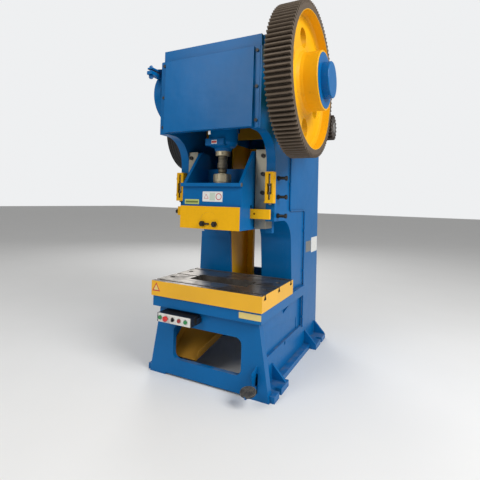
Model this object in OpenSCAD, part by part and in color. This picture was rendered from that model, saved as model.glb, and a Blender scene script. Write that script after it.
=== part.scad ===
// Open-back C-frame stamping press with one open crank gear.
// +X is the operator's right, +Y is the rear and +Z is up.
// The origin is on the floor, at the centre of the four anchor slots.
// The crank is at top dead centre, so the slide is at its highest.

/* [Frame] */
// Clear width between the two cheeks
inner_w = 680; // [640:10:760]
// Thickness of each cheek plate
cheek_t = 70; // [60:5:90]
// Height of the frame above the floor
frame_h = 2419; // [2380:10:2600]
// Depth from the front face of the leg plate to the rear edge
frame_d = 1403; // [1350:10:1500]
// Distance from the leg plate's front face back to the front anchor slots
foot_setback = 128; // [115:1:140]
// Distance from the leg plate's front face back to the ram axis
ram_setback = 178; // [160:1:200]
// Distance from the ram axis back to the front face of the columns
column_setback = 44; // [40:1:60]
// Height from the slide's underside to the lower end of the columns
column_lap = 65; // [50:1:80]
// Distance from the ram axis to the back of the throat, at its upper end
throat_depth = 425; // [410:5:480]
// Radius of the upper corner of the throat
throat_r = 200; // [150:5:230]
// How much further back the throat is at the bed than at its upper end
throat_lean = 40; // [20:5:100]
// Distance from the middle plane to the inner walls of the columns
column_in_x = 147; // [130:1:170]
// Distance from the crank axis down to the underside of the head
head_drop = 334; // [320:2:350]
// Radius of the corner between the columns and the head
head_r = 200; // [150:5:210]
// How far the head reaches forward of the leg plate's front face
head_overhang = 63; // [50:1:90]
// Height of the beam above the front cover
beam_h = 85; // [60:1:110]
// Thickness of the beam above the front cover
beam_t = 25; // [15:1:35]
// How far the beam is set back from the front of the cheeks
beam_setback = 17; // [10:1:25]
// Thickness of the plates that join the cheeks at the top and rear
cross_t = 35; // [25:1:45]
// Distance from the top of the frame down to the start of the rear slope
slope_drop = 269; // [200:5:300]
// How far the slope carries the rear of the head forward
slope_run = 255; // [200:5:300]

/* [Base] */
// Distance between the front and rear anchor slots
anchor_pitch_y = 1080; // [1040:10:1120]
// Distance between the left and right anchor slots
anchor_pitch_x = 960; // [940:5:980]
// Width of each anchor slot
anchor_slot_w = 42; // [36:1:48]
// Width over the foot pads
feet_w = 1040; // [1020:5:1080]
// Thickness of the foot pads
pad_t = 43; // [30:1:55]
// Height of the gussets above the foot pads
gusset_h = 110; // [90:5:130]
// Thickness of the gussets
gusset_t = 20; // [12:1:25]
// Thickness of the strip between the feet
rail_t = 40; // [30:1:43]
// Width of the strip between the feet
rail_w = 52; // [40:1:60]
// Thickness of the front leg plate
leg_t = 60; // [50:1:70]
// Width of the leg plate at the floor
leg_foot_w = 980; // [960:5:1000]
// Width of the leg plate under the bed
leg_top_w = 808; // [790:2:816]
// Width of the window in the leg plate
window_w = 562; // [500:2:600]
// Height of the window in the leg plate
window_h = 255; // [220:5:270]
// Height of the window's sill above the floor
window_z = 130; // [120:2:140]
// Corner radius of the window
window_r = 48; // [30:1:60]
// Height of the relief under the middle of the leg plate
leg_relief_h = 14; // [8:1:20]
// Width of the relief under the middle of the leg plate
leg_relief_w = 690; // [600:10:760]

/* [Bed and bolster] */
// Height of the bed plate's top above the floor
bed_z = 590; // [570:5:620]
// Thickness of the bed plate
bed_t = 78; // [60:1:90]
// Width of the bed plate
bed_w = 884; // [860:2:900]
// Depth of the bed plate
bed_d = 954; // [900:2:980]
// Width of the bolster
bolster_w = 900; // [860:5:940]
// Depth of the bolster
bolster_d = 615; // [580:5:640]
// Thickness of the bolster
bolster_t = 110; // [90:5:130]
// Distance from the ram axis back to the centre of the bolster
bolster_setback = 70; // [40:5:90]
// Width of the drop opening
drop_w = 490; // [400:5:520]
// Depth of the drop opening, front to rear
drop_d = 180; // [150:5:200]
// How far the drop opening's centre is ahead of the bolster's centre
drop_advance = 25; // [0:1:40]
// Distance between neighbouring T-slots
tslot_pitch = 257; // [240:1:265]
// Width of a T-slot at the bolster face
tslot_w = 22; // [18:1:28]
// Width of a T-slot's lower, wider part
tslot_head_w = 38; // [34:1:46]
// Depth of a T-slot's narrow part
tslot_neck_h = 18; // [14:1:24]
// Height of a T-slot's lower, wider part
tslot_head_h = 16; // [12:1:20]

/* [Drive] */
// Distance from the top of the frame down to the crank axis
crank_drop = 294; // [284:2:310]
// Stroke of the slide, twice the crank's throw
stroke = 130; // [100:10:140]
// Module of the gear teeth
gear_module = 10; // [9:0.5:10.5]
// Teeth on the crank gear
gear_teeth = 100; // [96:1:102]
// Teeth on the pinion
pinion_teeth = 18; // [16:1:19]
// Backlash between gear and pinion, measured along the pitch circle
backlash = 0.8; // [0.5:0.1:1.2]
// Face width of the crank gear
gear_w = 160; // [140:5:170]
// Distance from the middle plane to the back of the gear
gear_x = 536; // [530:1:550]
// Angle of the back shaft below the crank's level
pinion_drop = 20.5; // [18:0.5:24]
// Thickness of the gear's rim below the tooth roots
rim_t = 38; // [30:1:45]
// Distance from the gear's front face back to its web
web_recess = 75; // [60:1:78]
// Thickness of the gear's web
web_t = 54; // [40:1:60]
// Outer radius of the gear's hub
hub_r = 195; // [180:1:210]
// How far the hub stands out in front of the gear's face
hub_proud = 69; // [55:1:80]
// Radius of the holes in the gear's web
web_hole_r = 66; // [50:1:70]
// Number of holes in the gear's web
web_holes = 6; // [4:1:6]
// Radius of the cap on the shaft's end
cap_r = 119; // [100:1:130]
// Length of the cap on the shaft's end
cap_l = 51; // [40:1:60]
// Radius of the crank journals
journal_r = 75; // [70:1:80]
// Radius of the crank pin
pin_r = 80; // [74:1:86]
// Radius of the shaft inside the gear
gear_seat_r = 70; // [64:1:73]
// Thickness of the bronze bushes
bush_t = 12; // [8:1:15]
// Running clearance on the radius of every shaft
run_gap = 0.05; // [0.03:0.01:0.1]
// Radius of the back shaft
back_shaft_r = 40; // [36:1:46]
// Radius of the flywheel
flywheel_r = 330; // [300:5:345]
// Width of the flywheel's rim
flywheel_w = 150; // [140:2:160]
// Distance from the middle plane to the flywheel's inner face
flywheel_x = 562; // [556:1:575]
// Radius of the brake drum
drum_r = 199; // [185:1:205]
// Width of the brake drum
drum_w = 80; // [70:1:90]
// Pitch radius of the motor pulley
pulley_r = 80; // [70:1:95]
// Number of V-belts
belts = 4; // [3:1:5]
// Distance from the rear edge back to the motor's axis
motor_setback = 230; // [200:5:260]
// Distance from the top of the frame down to the motor's axis
motor_drop = 937; // [900:2:980]
// Radius of the motor's body
motor_r = 122; // [110:1:128]

/* [Slide] */
// Distance from the crank pin down to the slide's underside
ram_l = 1087; // [1070:1:1100]
// Distance from the ball seat up to the connecting rod's lower end
screw_l = 264.5; // [255:0.5:275]
// Width of the slide between its ridges
slide_w = 490; // [470:2:500]
// Distance from the ram axis to the slide's front face
slide_front = 183; // [170:1:195]
// Distance from the ram axis to the slide's rear face
slide_rear = 183; // [175:1:195]
// Height of the slide at its guides
slide_h = 577; // [560:1:590]
// Height of the slide at its front ledge
ledge_h = 330; // [310:1:345]
// Height of the yellow lower block of the slide
block_h = 163; // [155:1:175]
// Wall thickness of the slide's hopper
slide_wall = 25; // [18:1:30]
// How far the blue front wall is set back from the lower block
face_setback = 24; // [15:1:30]
// Radius of the shank bore
shank_r = 30; // [25:1:32]
// Depth of the shank bore
shank_h = 75; // [70:1:78]
// Clearance between the slide's ridges and the gibs
guide_gap = 0.3; // [0.3:0.05:0.5]
// How far the ridges stand out of the slide
ridge_h = 38; // [30:1:42]
// Width of a ridge at its tip
ridge_tip_w = 10; // [6:1:16]
// Thickness of the knock-out bar
bar_t = 30; // [24:1:34]
// Height of the knock-out bar
bar_h = 70; // [60:1:74]
// Length of the knock-out bar
bar_l = 786; // [770:2:800]
// Travel of the knock-out bar in its slot
bar_travel = 26; // [20:1:30]

/* [Hidden] */

// Round surfaces
round_n = 96;
small_n = 32;

// Heights that follow the top of the frame
crank_z = frame_h - crank_drop;
throw = stroke / 2;
pin_z = crank_z + throw;
slide_z = pin_z - ram_l;
head_under_z = crank_z - head_drop;
slope_z = frame_h - slope_drop;
motor_z = frame_h - motor_drop;
column_z = slide_z + column_lap;
beam_z = frame_h - beam_h;

// Places along Y
leg_front_y = -anchor_pitch_y / 2 - foot_setback;
leg_back_y = leg_front_y + leg_t;
rear_y = leg_front_y + frame_d;
ram_y = leg_front_y + ram_setback;
column_y = ram_y + column_setback;
throat_y = ram_y + throat_depth;
bed_corner_y = throat_y + throat_lean;
head_y = leg_front_y - head_overhang;
bed_front_y = leg_front_y - 46;
bed_rear_y = bed_front_y + bed_d;
bolster_y = ram_y + bolster_setback;
drop_y = bolster_y - drop_advance;
slope_y = rear_y - slope_run;
beam_y = head_y + beam_setback;

// Places along X and Z
inner_x = inner_w / 2;
outer_x = inner_x + cheek_t;
bolster_z = bed_z + bolster_t;
bed_under_z = bed_z - bed_t;
recess_y = rear_y - 492;
recess_z = 230;
recess_d = 15;
wall_plate_t = 24;
sill_rise = 14;
column_inset = 445;
column_back_y = rear_y - column_inset;

// Slide
ledge_z = slide_z + ledge_h;
deck_z = ledge_z - 33;
slide_x = slide_w / 2;
ridge_base_w = ridge_tip_w + 2 * ridge_h;
gib_front_y = column_y;
gib_d = 130;
gib_y = gib_front_y + gib_d / 2;
gib_air = 10;
gib_z = slide_z + 8;
gib_h = slide_h + 2;
gib_ledge_d = 40;
bar_z = slide_z + shank_h + 6;

// Crank and rod
web_in_x = 95;
web_out_x = 170;
big_end_w = 2 * web_in_x - 10;
big_end_r = 138;
rod_body_r = 110;
lock_nut_h = 34;
seat_nut_r = 68;
swing_gap = 14.5;
rod_foot_z = deck_z + swing_gap + screw_l;

// Gear train
gear_pitch_r = gear_module * gear_teeth / 2;
gear_tip_r = gear_pitch_r + gear_module;
gear_root_r = gear_pitch_r - 1.25 * gear_module;
rim_in_r = gear_root_r - rim_t;
pinion_pitch_r = gear_module * pinion_teeth / 2;
gear_front_x = gear_x + gear_w;
web_x = gear_front_x - web_recess;
hub_front_x = gear_front_x + hub_proud;
gear_ahead = gear_pitch_r + pinion_pitch_r;
back_y = ram_y + gear_ahead * cos(pinion_drop);
back_z = crank_z - gear_ahead * sin(pinion_drop);
pressure = 20;
boss_r = 140;
boss_in_x = inner_x - 40;
right_boss_x = outer_x + 90;
left_boss_x = outer_x + 15;
shaft_boss_r = 80;
shaft_boss_in_x = inner_x - 20;
right_shaft_boss_x = gear_x - 21;
left_shaft_boss_x = flywheel_x - 17;
shaft_bush_t = 10;
shaft_end_x = hub_front_x - 16;
drum_x = outer_x + 25;
belt_pitch = 24;
belt_w = 15;
belt_t = 11;
belt_clear = 0.5;
// Depth by which a belt's straight run starts inside its wheel's arc, so that the two cross cleanly
belt_sink = 0.3;
belt_r = flywheel_r - belt_t / 2 - 3;
motor_y = rear_y + motor_setback;
belt_x = flywheel_x + 100;
motor_shaft_r = 21;

// Fits at rest
seat_gap = 0.3;
fit_gap = 0.5;

// Anchor feet
foot_front = [leg_back_y, leg_back_y + 236];
foot_rear = [anchor_pitch_y / 2 - 185, anchor_pitch_y / 2 + 150];
foot_front_gusset_y = foot_front[1] - 60;

// Controls, left to right on the box
box_w = 292;
box_h = 62;
box_d = 112;
box_x = -345;
box_z = bed_under_z - 22 - box_h;
box_front_y = leg_front_y - box_d;
button_pitch = 55;
button_travel = 6;

// Treadle
treadle_x = 393;
treadle_y = leg_front_y + 188;
treadle_z = 190;
treadle_pin_r = 12;
pad_r = 52;

// Extrudes a side view, drawn as Y and Z, along X from x0 over length t
module side_view(x0, t) {
    translate([x0, 0, 0]) rotate([90, 0, 90]) linear_extrude(height = t) children();
}

// Extrudes a front view, drawn as X and Z, along Y from y0 over length t
module front_view(y0, t) {
    translate([0, y0 + t, 0]) rotate([90, 0, 0]) linear_extrude(height = t) children();
}

// Round bar along X between two planes, about an axis at y and z
module bar_x(x0, x1, r, y, z, n = round_n) {
    translate([min(x0, x1), y, z]) rotate([0, 90, 0]) cylinder(h = abs(x1 - x0), r = r, $fn = n);
}

// Round bar along Y that starts at y0
module bar_y(y0, l, r, x, z, n = small_n) {
    translate([x, y0, z]) rotate([-90, 0, 0]) cylinder(h = l, r = r, $fn = n);
}

// Hexagon head along X that starts at x0
module hex_x(x0, l, across, y, z) {
    translate([x0, y, z]) rotate([0, 90, 0]) cylinder(h = l, r = across / 2 / cos(30), $fn = 6);
}

// Hexagon head along Y that starts at y0
module hex_y(y0, l, across, x, z) {
    translate([x, y0, z]) rotate([-90, 0, 0]) cylinder(h = l, r = across / 2 / cos(30), $fn = 6);
}

// Box between two corners
module block(a, b) {
    translate(a) cube(b - a);
}

// Flat rectangle with round corners, about its centre
module round_rect(w, h, r) {
    square([w - 2 * r, h], center = true);
    square([w, h - 2 * r], center = true);
    for (sx = [-1, 1], sy = [-1, 1]) {
        translate([sx * (w / 2 - r), sy * (h / 2 - r)]) circle(r = r, $fn = small_n);
    }
}

// Concave fillet that fills a corner at [0, 0], towards -x and -y
module corner_fill(r) {
    difference() {
        translate([-r, -r]) square(r + 1);
        translate([-r, -r]) circle(r = r, $fn = round_n);
    }
}

// Frame

module cheek_outline() {
    polygon([
        [head_y, head_under_z], [head_y, beam_z], [beam_y + beam_t, beam_z], [beam_y + beam_t, frame_h],
        [slope_y, frame_h], [rear_y, slope_z], [rear_y, 0], [leg_back_y, 0], [leg_back_y, bed_under_z],
        [bed_corner_y, bed_under_z], [bed_corner_y, bed_z], [throat_y, column_z - throat_r],
        [throat_y, column_z], [column_y, column_z], [column_y, head_under_z]
    ]);
    translate([throat_y, column_z]) corner_fill(throat_r);
    translate([column_y, head_under_z]) corner_fill(head_r);
}

// Pocket in a cheek's outer face: an even depth, and a deeper lower part under a sloping edge
module cheek_recess() {
    step = 4;
    step_y = rear_y - 580;
    recess_x = outer_x - recess_d;
    block([recess_x, leg_back_y - 1, recess_z], [outer_x + 1, recess_y, bed_under_z + 1]);
    side_view(recess_x - step, step + 1) polygon([
        [leg_back_y - 1, recess_z], [leg_back_y - 1, recess_z + 191], [step_y, recess_z + 94],
        [step_y, recess_z]
    ]);
}

// Right cheek in place: recess above the base, thin wall below it, bosses, gib ledge and drillings
module cheek(crank_boss_x, shaft_boss_x) {
    wall_t = 10;
    gusset_y = [-170, -158];
    difference() {
        union() {
            side_view(inner_x, cheek_t) cheek_outline();
            bar_x(boss_in_x, crank_boss_x, boss_r, ram_y, crank_z);
            bar_x(shaft_boss_in_x, shaft_boss_x, shaft_boss_r, back_y, back_z);
            block([inner_x - 50, gib_front_y + gib_d, gib_z - 40],
                  [inner_x + 1, gib_front_y + gib_d + gib_ledge_d, gib_z + gib_h + 20]);
        }
        cheek_recess();
        block([inner_x - 1, leg_back_y - 1, -1], [outer_x - wall_t, recess_y, recess_z - 12]);
        bar_x(boss_in_x - 1, crank_boss_x + 1, journal_r + bush_t, ram_y, crank_z);
        bar_x(shaft_boss_in_x - 1, shaft_boss_x + 1, back_shaft_r + shaft_bush_t, back_y, back_z);
        for (z = gib_adjuster_z()) {
            bar_x(inner_x - 1, outer_x + 1, adjuster_r + fit_gap, adjuster_y, z, small_n);
        }
        for (z = gib_screw_z()) {
            bar_y(gib_front_y + gib_d - 1, gib_ledge_d + 2, gib_screw_r, gib_screw_x, z);
        }
        // lifting and pipe hole near the ledge
        bar_x(outer_x - wall_t - 1, outer_x + 1, 14, -160, 212, small_n);
    }
    // gusset under the bed plate's overhang
    front_view(gusset_y[0], gusset_y[1] - gusset_y[0]) polygon([
        [outer_x - recess_d - 1, bed_under_z], [bed_w / 2 - 2, bed_under_z],
        [outer_x - recess_d - 1, bed_under_z - 72]
    ]);
}

module left_cheek() {
    color("royalblue") mirror([1, 0, 0]) cheek(left_boss_x, left_shaft_boss_x);
}

module right_cheek() {
    color("royalblue") {
        cheek(right_boss_x, right_shaft_boss_x);
        // stub that the treadle turns on
        bar_x(treadle_x - 16, outer_x - 4, treadle_pin_r, treadle_y, treadle_z, small_n);
    }
}

module front_leg_plate() {
    rim = 36;
    pocket_x = inner_x - 10;
    pocket_z = [100, bed_under_z - 20];
    slot_z = [44, 178];
    slot_w = 20;
    fin_t = 8;
    fin_z = slot_z[0] + 62;
    fin_x = treadle_x - 9;
    color("royalblue") {
        difference() {
            front_view(leg_front_y, leg_t) difference() {
                polygon([[-leg_foot_w / 2, 0], [leg_foot_w / 2, 0], [leg_top_w / 2, bed_under_z],
                         [-leg_top_w / 2, bed_under_z]]);
                translate([0, window_z + window_h / 2]) round_rect(window_w, window_h, window_r);
                translate([-leg_relief_w / 2, -1]) square([leg_relief_w, leg_relief_h + 1]);
                translate([treadle_x + 3, (slot_z[0] + slot_z[1]) / 2]) {
                    round_rect(slot_w, slot_z[1] - slot_z[0], slot_w / 2 - 0.1);
                }
            }
            block([-pocket_x, leg_front_y + rim, pocket_z[0]], [pocket_x, leg_back_y + 1, pocket_z[1]]);
        }
        // guard fin beside the treadle slot
        translate([fin_x, 0, fin_z]) rotate([0, 9, 0]) side_view(-fin_t, fin_t) polygon([
            [leg_front_y + 2, 0], [leg_front_y + 2, 120], [leg_front_y - 72, 88], [leg_front_y - 44, 0]
        ]);
    }
}

module bed_plate() {
    notch_y = bed_corner_y;
    color("royalblue") difference() {
        block([-bed_w / 2, bed_front_y, bed_under_z], [bed_w / 2, bed_rear_y, bed_z]);
        for (s = [-1, 1]) {
            block([s * (inner_x + outer_x) / 2 - cheek_t / 2, notch_y, bed_under_z - 1],
                  [s * (inner_x + outer_x) / 2 + cheek_t / 2, bed_rear_y + 1, bed_z + 1]);
        }
        block([-drop_w / 2, drop_y - drop_d / 2, bed_under_z - 1],
            [drop_w / 2, drop_y + drop_d / 2, bed_z + 1]);
        for (p = bolster_screw_spots()) {
            translate([p[0], p[1], bed_z - 50]) cylinder(h = 51, r = bolster_screw_r, $fn = small_n);
        }
    }
}

// One foot pad with its open anchor slot and gussets
module foot(y0, y1, slot_y, gusset_at) {
    pad_x = feet_w / 2;
    difference() {
        block([outer_x, y0, 0], [pad_x, y1, pad_t]);
        translate([anchor_pitch_x / 2, slot_y, -1])
            cylinder(h = pad_t + 2, r = anchor_slot_w / 2, $fn = small_n);
        block([anchor_pitch_x / 2, slot_y - anchor_slot_w / 2, -1],
              [pad_x + 1, slot_y + anchor_slot_w / 2, pad_t + 1]);
    }
    for (y = gusset_at) {
        front_view(y, gusset_t) polygon([
            [outer_x, pad_t], [pad_x - 6, pad_t], [pad_x - 6, pad_t + 8], [outer_x + 8, pad_t + gusset_h],
            [outer_x, pad_t + gusset_h]
        ]);
    }
}

module foot_rail() {
    toe_l = 42;
    toe_gap = 0.5;
    foot(foot_front[0], foot_front[1], -anchor_pitch_y / 2, [foot_front_gusset_y]);
    // toe of the front pad, beside the leg plate
    front_view(leg_back_y - toe_l, toe_l + 1) polygon([
        [leg_foot_w / 2 + toe_gap, 0], [feet_w / 2, 0], [feet_w / 2, pad_t],
        [leg_foot_w / 2 + toe_gap - pad_t * (leg_foot_w - leg_top_w) / 2 / bed_under_z, pad_t]
    ]);
    foot(foot_rear[0], foot_rear[1], anchor_pitch_y / 2, [foot_rear[0], foot_rear[1] - gusset_t]);
    block([outer_x, foot_front[1] - 1, 0], [outer_x + rail_w, foot_rear[0] + 1, rail_t]);
}

module left_foot_rail() { color("royalblue") mirror([1, 0, 0]) foot_rail(); }

module right_foot_rail() { color("royalblue") foot_rail(); }

module rear_sill_plate() {
    color("royalblue") block([-inner_x, rear_y - cross_t, 0], [inner_x, rear_y, bed_z + sill_rise]);
}

module rear_head_plate() {
    foot_z = head_under_z - 93;
    fold = 20;
    color("royalblue") side_view(-inner_x, inner_w) polygon([
        [rear_y, foot_z], [rear_y, slope_z], [slope_y, frame_h], [slope_y - cross_t, frame_h],
        [slope_y - cross_t, frame_h - fold], [rear_y - cross_t, slope_z - fold], [rear_y - cross_t, foot_z]
    ]);
}

module head_top_plate() {
    color("royalblue") difference() {
        block([-inner_x, beam_y + beam_t, frame_h - cross_t], [inner_x, slope_y - cross_t, frame_h]);
        for (y = [beam_y + 203, slope_y - 150]) {
            translate([0, y, frame_h - cross_t - 1]) cylinder(h = cross_t + 2, r = 21, $fn = small_n);
        }
    }
}

module head_front_beam() {
    color("royalblue") block([-outer_x + 12, beam_y, beam_z], [outer_x - 12, beam_y + beam_t, frame_h]);
}

module crank_box_web() {
    web_y = ram_y + 300;
    hole_x = 0.56 * inner_x;
    hole_r = 70;
    color("olive") difference() {
        block([-inner_x, web_y, head_under_z + 24], [inner_x, web_y + cross_t - 10, frame_h - cross_t]);
        for (s = [-1, 1]) {
            bar_y(web_y - 1, cross_t, hole_r, s * hole_x, crank_z + 20, round_n);
        }
    }
}

// Side view of the plate that lines the back of the throat
module throat_lining() {
    w = wall_plate_t;
    corner = [throat_y - throat_r, column_z - throat_r];
    polygon([
        [bed_corner_y, bed_z], [throat_y, corner[1]], [throat_y + w, corner[1]], [bed_corner_y + w, bed_z]
    ]);
    intersection() {
        translate(corner) difference() {
            circle(r = throat_r + w, $fn = round_n);
            circle(r = throat_r, $fn = round_n);
        }
        translate(corner) square(throat_r + w + 1);
    }
}

// Plates that close the box columns towards the die space
module throat_plates() {
    flange_x = [outer_x + 26, outer_x + 66];
    color("royalblue") {
        for (s = [0, 1]) mirror([s, 0, 0]) {
            side_view(column_in_x, inner_x - column_in_x) throat_lining();
        }
        // flange on the left column's outer edge
        intersection() {
            side_view(-flange_x[1], flange_x[1] - outer_x) throat_lining();
            front_view(throat_y - throat_r, 2 * throat_r) polygon([
                [-outer_x, bed_z], [-flange_x[1], bed_z], [-flange_x[0], column_z - throat_r + 60],
                [-outer_x, column_z - throat_r + 60]
            ]);
        }
    }
}

// Yellow inner walls of the box columns, folded outwards and inwards at the rear
module column_channels() {
    sheet = 8;
    flange = 58;
    lip = 40;
    front_y = throat_y + wall_plate_t;
    foot_y = bed_corner_y + wall_plate_t;
    top_z = head_under_z + 20;
    in_x = column_in_x;
    color("goldenrod") for (s = [0, 1]) mirror([s, 0, 0]) {
        side_view(in_x, sheet) polygon([
            [front_y, top_z], [front_y, column_z - throat_r], [foot_y, bed_z],
            [column_back_y, bed_z], [column_back_y, top_z]
        ]);
        translate([0, 0, bed_z]) linear_extrude(height = top_z - bed_z) polygon([
            [in_x - flange, column_back_y], [inner_x, column_back_y], [inner_x, column_back_y + sheet],
            [in_x - flange + sheet, column_back_y + sheet], [in_x - flange + sheet, column_back_y + lip],
            [in_x - flange, column_back_y + lip]
        ]);
    }
}

// Bolster

bolster_screw_r = 12;
bolster_screw_inset = 34;
function bolster_screw_spots() = [for (sx = [-1, 1], sy = [-1, 1])
    [sx * (bolster_w / 2 - 58), bolster_y + sy * (tslot_pitch / 2)]];

module bolster() {
    color("gold") difference() {
        block([-bolster_w / 2, bolster_y - bolster_d / 2, bed_z],
            [bolster_w / 2, bolster_y + bolster_d / 2, bolster_z]);
        block([-drop_w / 2, drop_y - drop_d / 2, bed_z - 1],
            [drop_w / 2, drop_y + drop_d / 2, bolster_z + 1]);
        for (i = [-1 : 1]) translate([0, bolster_y + i * tslot_pitch, 0]) {
            block([-bolster_w / 2 - 1, -tslot_w / 2, bolster_z - tslot_neck_h - 1],
                  [bolster_w / 2 + 1, tslot_w / 2, bolster_z + 1]);
            block([-bolster_w / 2 - 1, -tslot_head_w / 2, bolster_z - tslot_neck_h - tslot_head_h],
                  [bolster_w / 2 + 1, tslot_head_w / 2, bolster_z - tslot_neck_h]);
        }
        for (p = bolster_screw_spots()) translate([p[0], p[1], bed_z]) {
            translate([0, 0, -1]) cylinder(h = bolster_t + 2, r = bolster_screw_r + fit_gap, $fn = small_n);
            translate([0, 0, bolster_t - bolster_screw_inset])
                cylinder(h = bolster_screw_inset + 1, r = 20, $fn = small_n);
        }
    }
}

module bolster_screws() {
    head_h = 24;
    color("dimgray") for (p = bolster_screw_spots()) translate([p[0], p[1], 0]) {
        translate([0, 0, bed_z - 40])
            cylinder(h = bolster_t + 41 - bolster_screw_inset, r = bolster_screw_r, $fn = small_n);
        translate([0, 0, bolster_z - bolster_screw_inset]) difference() {
            cylinder(h = head_h, r = 18, $fn = small_n);
            translate([0, 0, head_h - 12]) cylinder(h = 13, r = 11, $fn = 6);
        }
    }
}

// Guides

adjuster_r = 10;
adjuster_y = gib_front_y + 51;
gib_screw_r = 9;
gib_screw_x = inner_x - 26;
function gib_adjuster_z() = [for (f = [0.17, 0.405, 0.64]) gib_z + gib_h * f];
function gib_screw_z() = [for (f = [0.22, 0.455, 0.69, 0.92]) gib_z + gib_h * f];

// Plan view of the ridge on the slide's right side, grown by a gap measured square to its flanks
module ridge_plan(grow) {
    g = grow / cos(45);
    polygon([
        [slide_x - 5, gib_y - ridge_base_w / 2 - g - 5],
        [slide_x + ridge_h + grow, gib_y - ridge_tip_w / 2 - g + grow],
        [slide_x + ridge_h + grow, gib_y + ridge_tip_w / 2 + g - grow],
        [slide_x - 5, gib_y + ridge_base_w / 2 + g + 5]
    ]);
}

module gib() {
    difference() {
        block([slide_x + gib_air, gib_front_y, gib_z], [inner_x, gib_front_y + gib_d, gib_z + gib_h]);
        translate([0, 0, gib_z - 1]) linear_extrude(height = gib_h + 2) ridge_plan(guide_gap);
        for (z = gib_screw_z()) {
            bar_y(gib_front_y - 1, gib_d + 2, gib_screw_r + fit_gap, gib_screw_x, z);
        }
    }
}

module left_gib() { color("darkkhaki") mirror([1, 0, 0]) gib(); }

module right_gib() { color("darkkhaki") gib(); }

module gib_screws() {
    head_h = 12;
    color("dimgray") for (s = [0, 1]) mirror([s, 0, 0]) for (z = gib_screw_z()) difference() {
        union() {
            bar_y(gib_front_y - 0.5, gib_d + gib_ledge_d - 5, gib_screw_r, gib_screw_x, z);
            bar_y(gib_front_y - head_h, head_h, 15, gib_screw_x, z);
        }
        hex_y(gib_front_y - head_h - 1, 8, 13, gib_screw_x, z);
    }
}

module gib_adjusters() {
    reach = 74;
    color("dimgray") for (s = [0, 1]) mirror([s, 0, 0]) for (z = gib_adjuster_z()) {
        bar_x(inner_x, outer_x + reach - 14, adjuster_r, adjuster_y, z, small_n);
        hex_x(outer_x, 16, 30, adjuster_y, z);
        hex_x(outer_x + reach - 14, 14, 30, adjuster_y, z);
    }
}

// Knock-out stops on the column fronts

stop_x = 386;
stop_y = column_y - 32;
stop_screw_r = 10;
bracket_z = [slide_z + 196, slide_z + 420];
bracket_x = [inner_x + 14, inner_x + 76];
bracket_d = 52;

module knockout_bracket() {
    difference() {
        union() {
            block([bracket_x[0], column_y - bracket_d, bracket_z[0]],
                [bracket_x[1], column_y, bracket_z[1]]);
            block([inner_x - 8, column_y - 14, bracket_z[0]],
                [bracket_x[0] + 1, column_y, bracket_z[0] + 16]);
        }
        block([stop_x - 8, column_y - bracket_d - 1, bracket_z[0] + 24],
            [stop_x + 8, stop_y + 2, bracket_z[1] - 14]);
        block([stop_x - 18.5, stop_y - 21, bracket_z[0] + 62],
            [stop_x + 18.5, stop_y + 19, bracket_z[1] - 84]);
        translate([stop_x, stop_y, bracket_z[0] - 1])
            cylinder(h = 240, r = stop_screw_r + fit_gap, $fn = small_n);
    }
}

module left_knockout_bracket() { color("gold") mirror([1, 0, 0]) knockout_bracket(); }

module right_knockout_bracket() { color("gold") knockout_bracket(); }

module knockout_stop_screws() {
    nut_h = 17;
    color("dimgray") for (s = [0, 1]) mirror([s, 0, 0]) translate([stop_x, stop_y, 0]) {
        translate([0, 0, bracket_z[0] - 12]) cylinder(h = 218, r = stop_screw_r, $fn = small_n);
        for (z = [bracket_z[0] + 62, bracket_z[1] - 84 - nut_h]) {
            translate([0, 0, z]) cylinder(h = nut_h, r = 15 / cos(30), $fn = 6);
        }
    }
}

// Front cover

cover_t = 3;
cover_x = outer_x - 12;
cover_z = [head_under_z + 2, beam_z];
panel_x = [cover_x - 38, cover_x - 38 - cover_t];
cover_screw_r = 7;
function cover_screw_z() = [cover_z[0] + 48, (cover_z[0] + cover_z[1]) / 2, cover_z[1] - 33];

// Side view of the raised panel, from the flange forward, inset by a wall
module panel_side(wall) {
    low = 26;
    high = 15;
    y0 = head_y - cover_t;
    polygon([[y0 + cover_t + 1, cover_z[0] + 6 + wall], [y0 - low + wall, cover_z[0] + 6 + wall],
             [y0 - high + wall, cover_z[1] - 8 - wall], [y0 + cover_t + 1, cover_z[1] - 8 - wall]]);
}

module front_cover() {
    color("royalblue") difference() {
        union() {
            block([-cover_x, head_y - cover_t, cover_z[0]], [cover_x, head_y, cover_z[1]]);
            intersection() {
                side_view(-panel_x[0], 2 * panel_x[0]) panel_side(0);
                block([-cover_x, head_y - 100, cover_z[0]], [cover_x, head_y, cover_z[1]]);
            }
        }
        side_view(-panel_x[1], 2 * panel_x[1]) panel_side(cover_t);
        for (s = [-1, 1], z = cover_screw_z()) {
            bar_y(head_y - cover_t - 1, cover_t + 2, cover_screw_r, s * (cover_x - 19), z);
        }
    }
}

module cover_screws() {
    color("dimgray") for (s = [-1, 1], z = cover_screw_z()) {
        bar_y(head_y - cover_t - 9, 9, 11, s * (cover_x - 19), z);
    }
}

// Bearings

module crank_bushes() {
    color("peru") for (side = [[-boss_in_x, -left_boss_x], [boss_in_x, right_boss_x]]) difference() {
        bar_x(side[0], side[1], journal_r + bush_t, ram_y, crank_z);
        bar_x(side[0] - 500, side[1] + 500, journal_r + run_gap, ram_y, crank_z);
    }
}

module shaft_bushes() {
    ends = [[-shaft_boss_in_x, -left_shaft_boss_x], [shaft_boss_in_x, right_shaft_boss_x]];
    color("peru") for (side = ends) difference() {
        bar_x(side[0], side[1], back_shaft_r + shaft_bush_t, back_y, back_z);
        bar_x(side[0] - 500, side[1] + 500, back_shaft_r + run_gap, back_y, back_z);
    }
}

// Crankshaft and its brake

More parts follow.
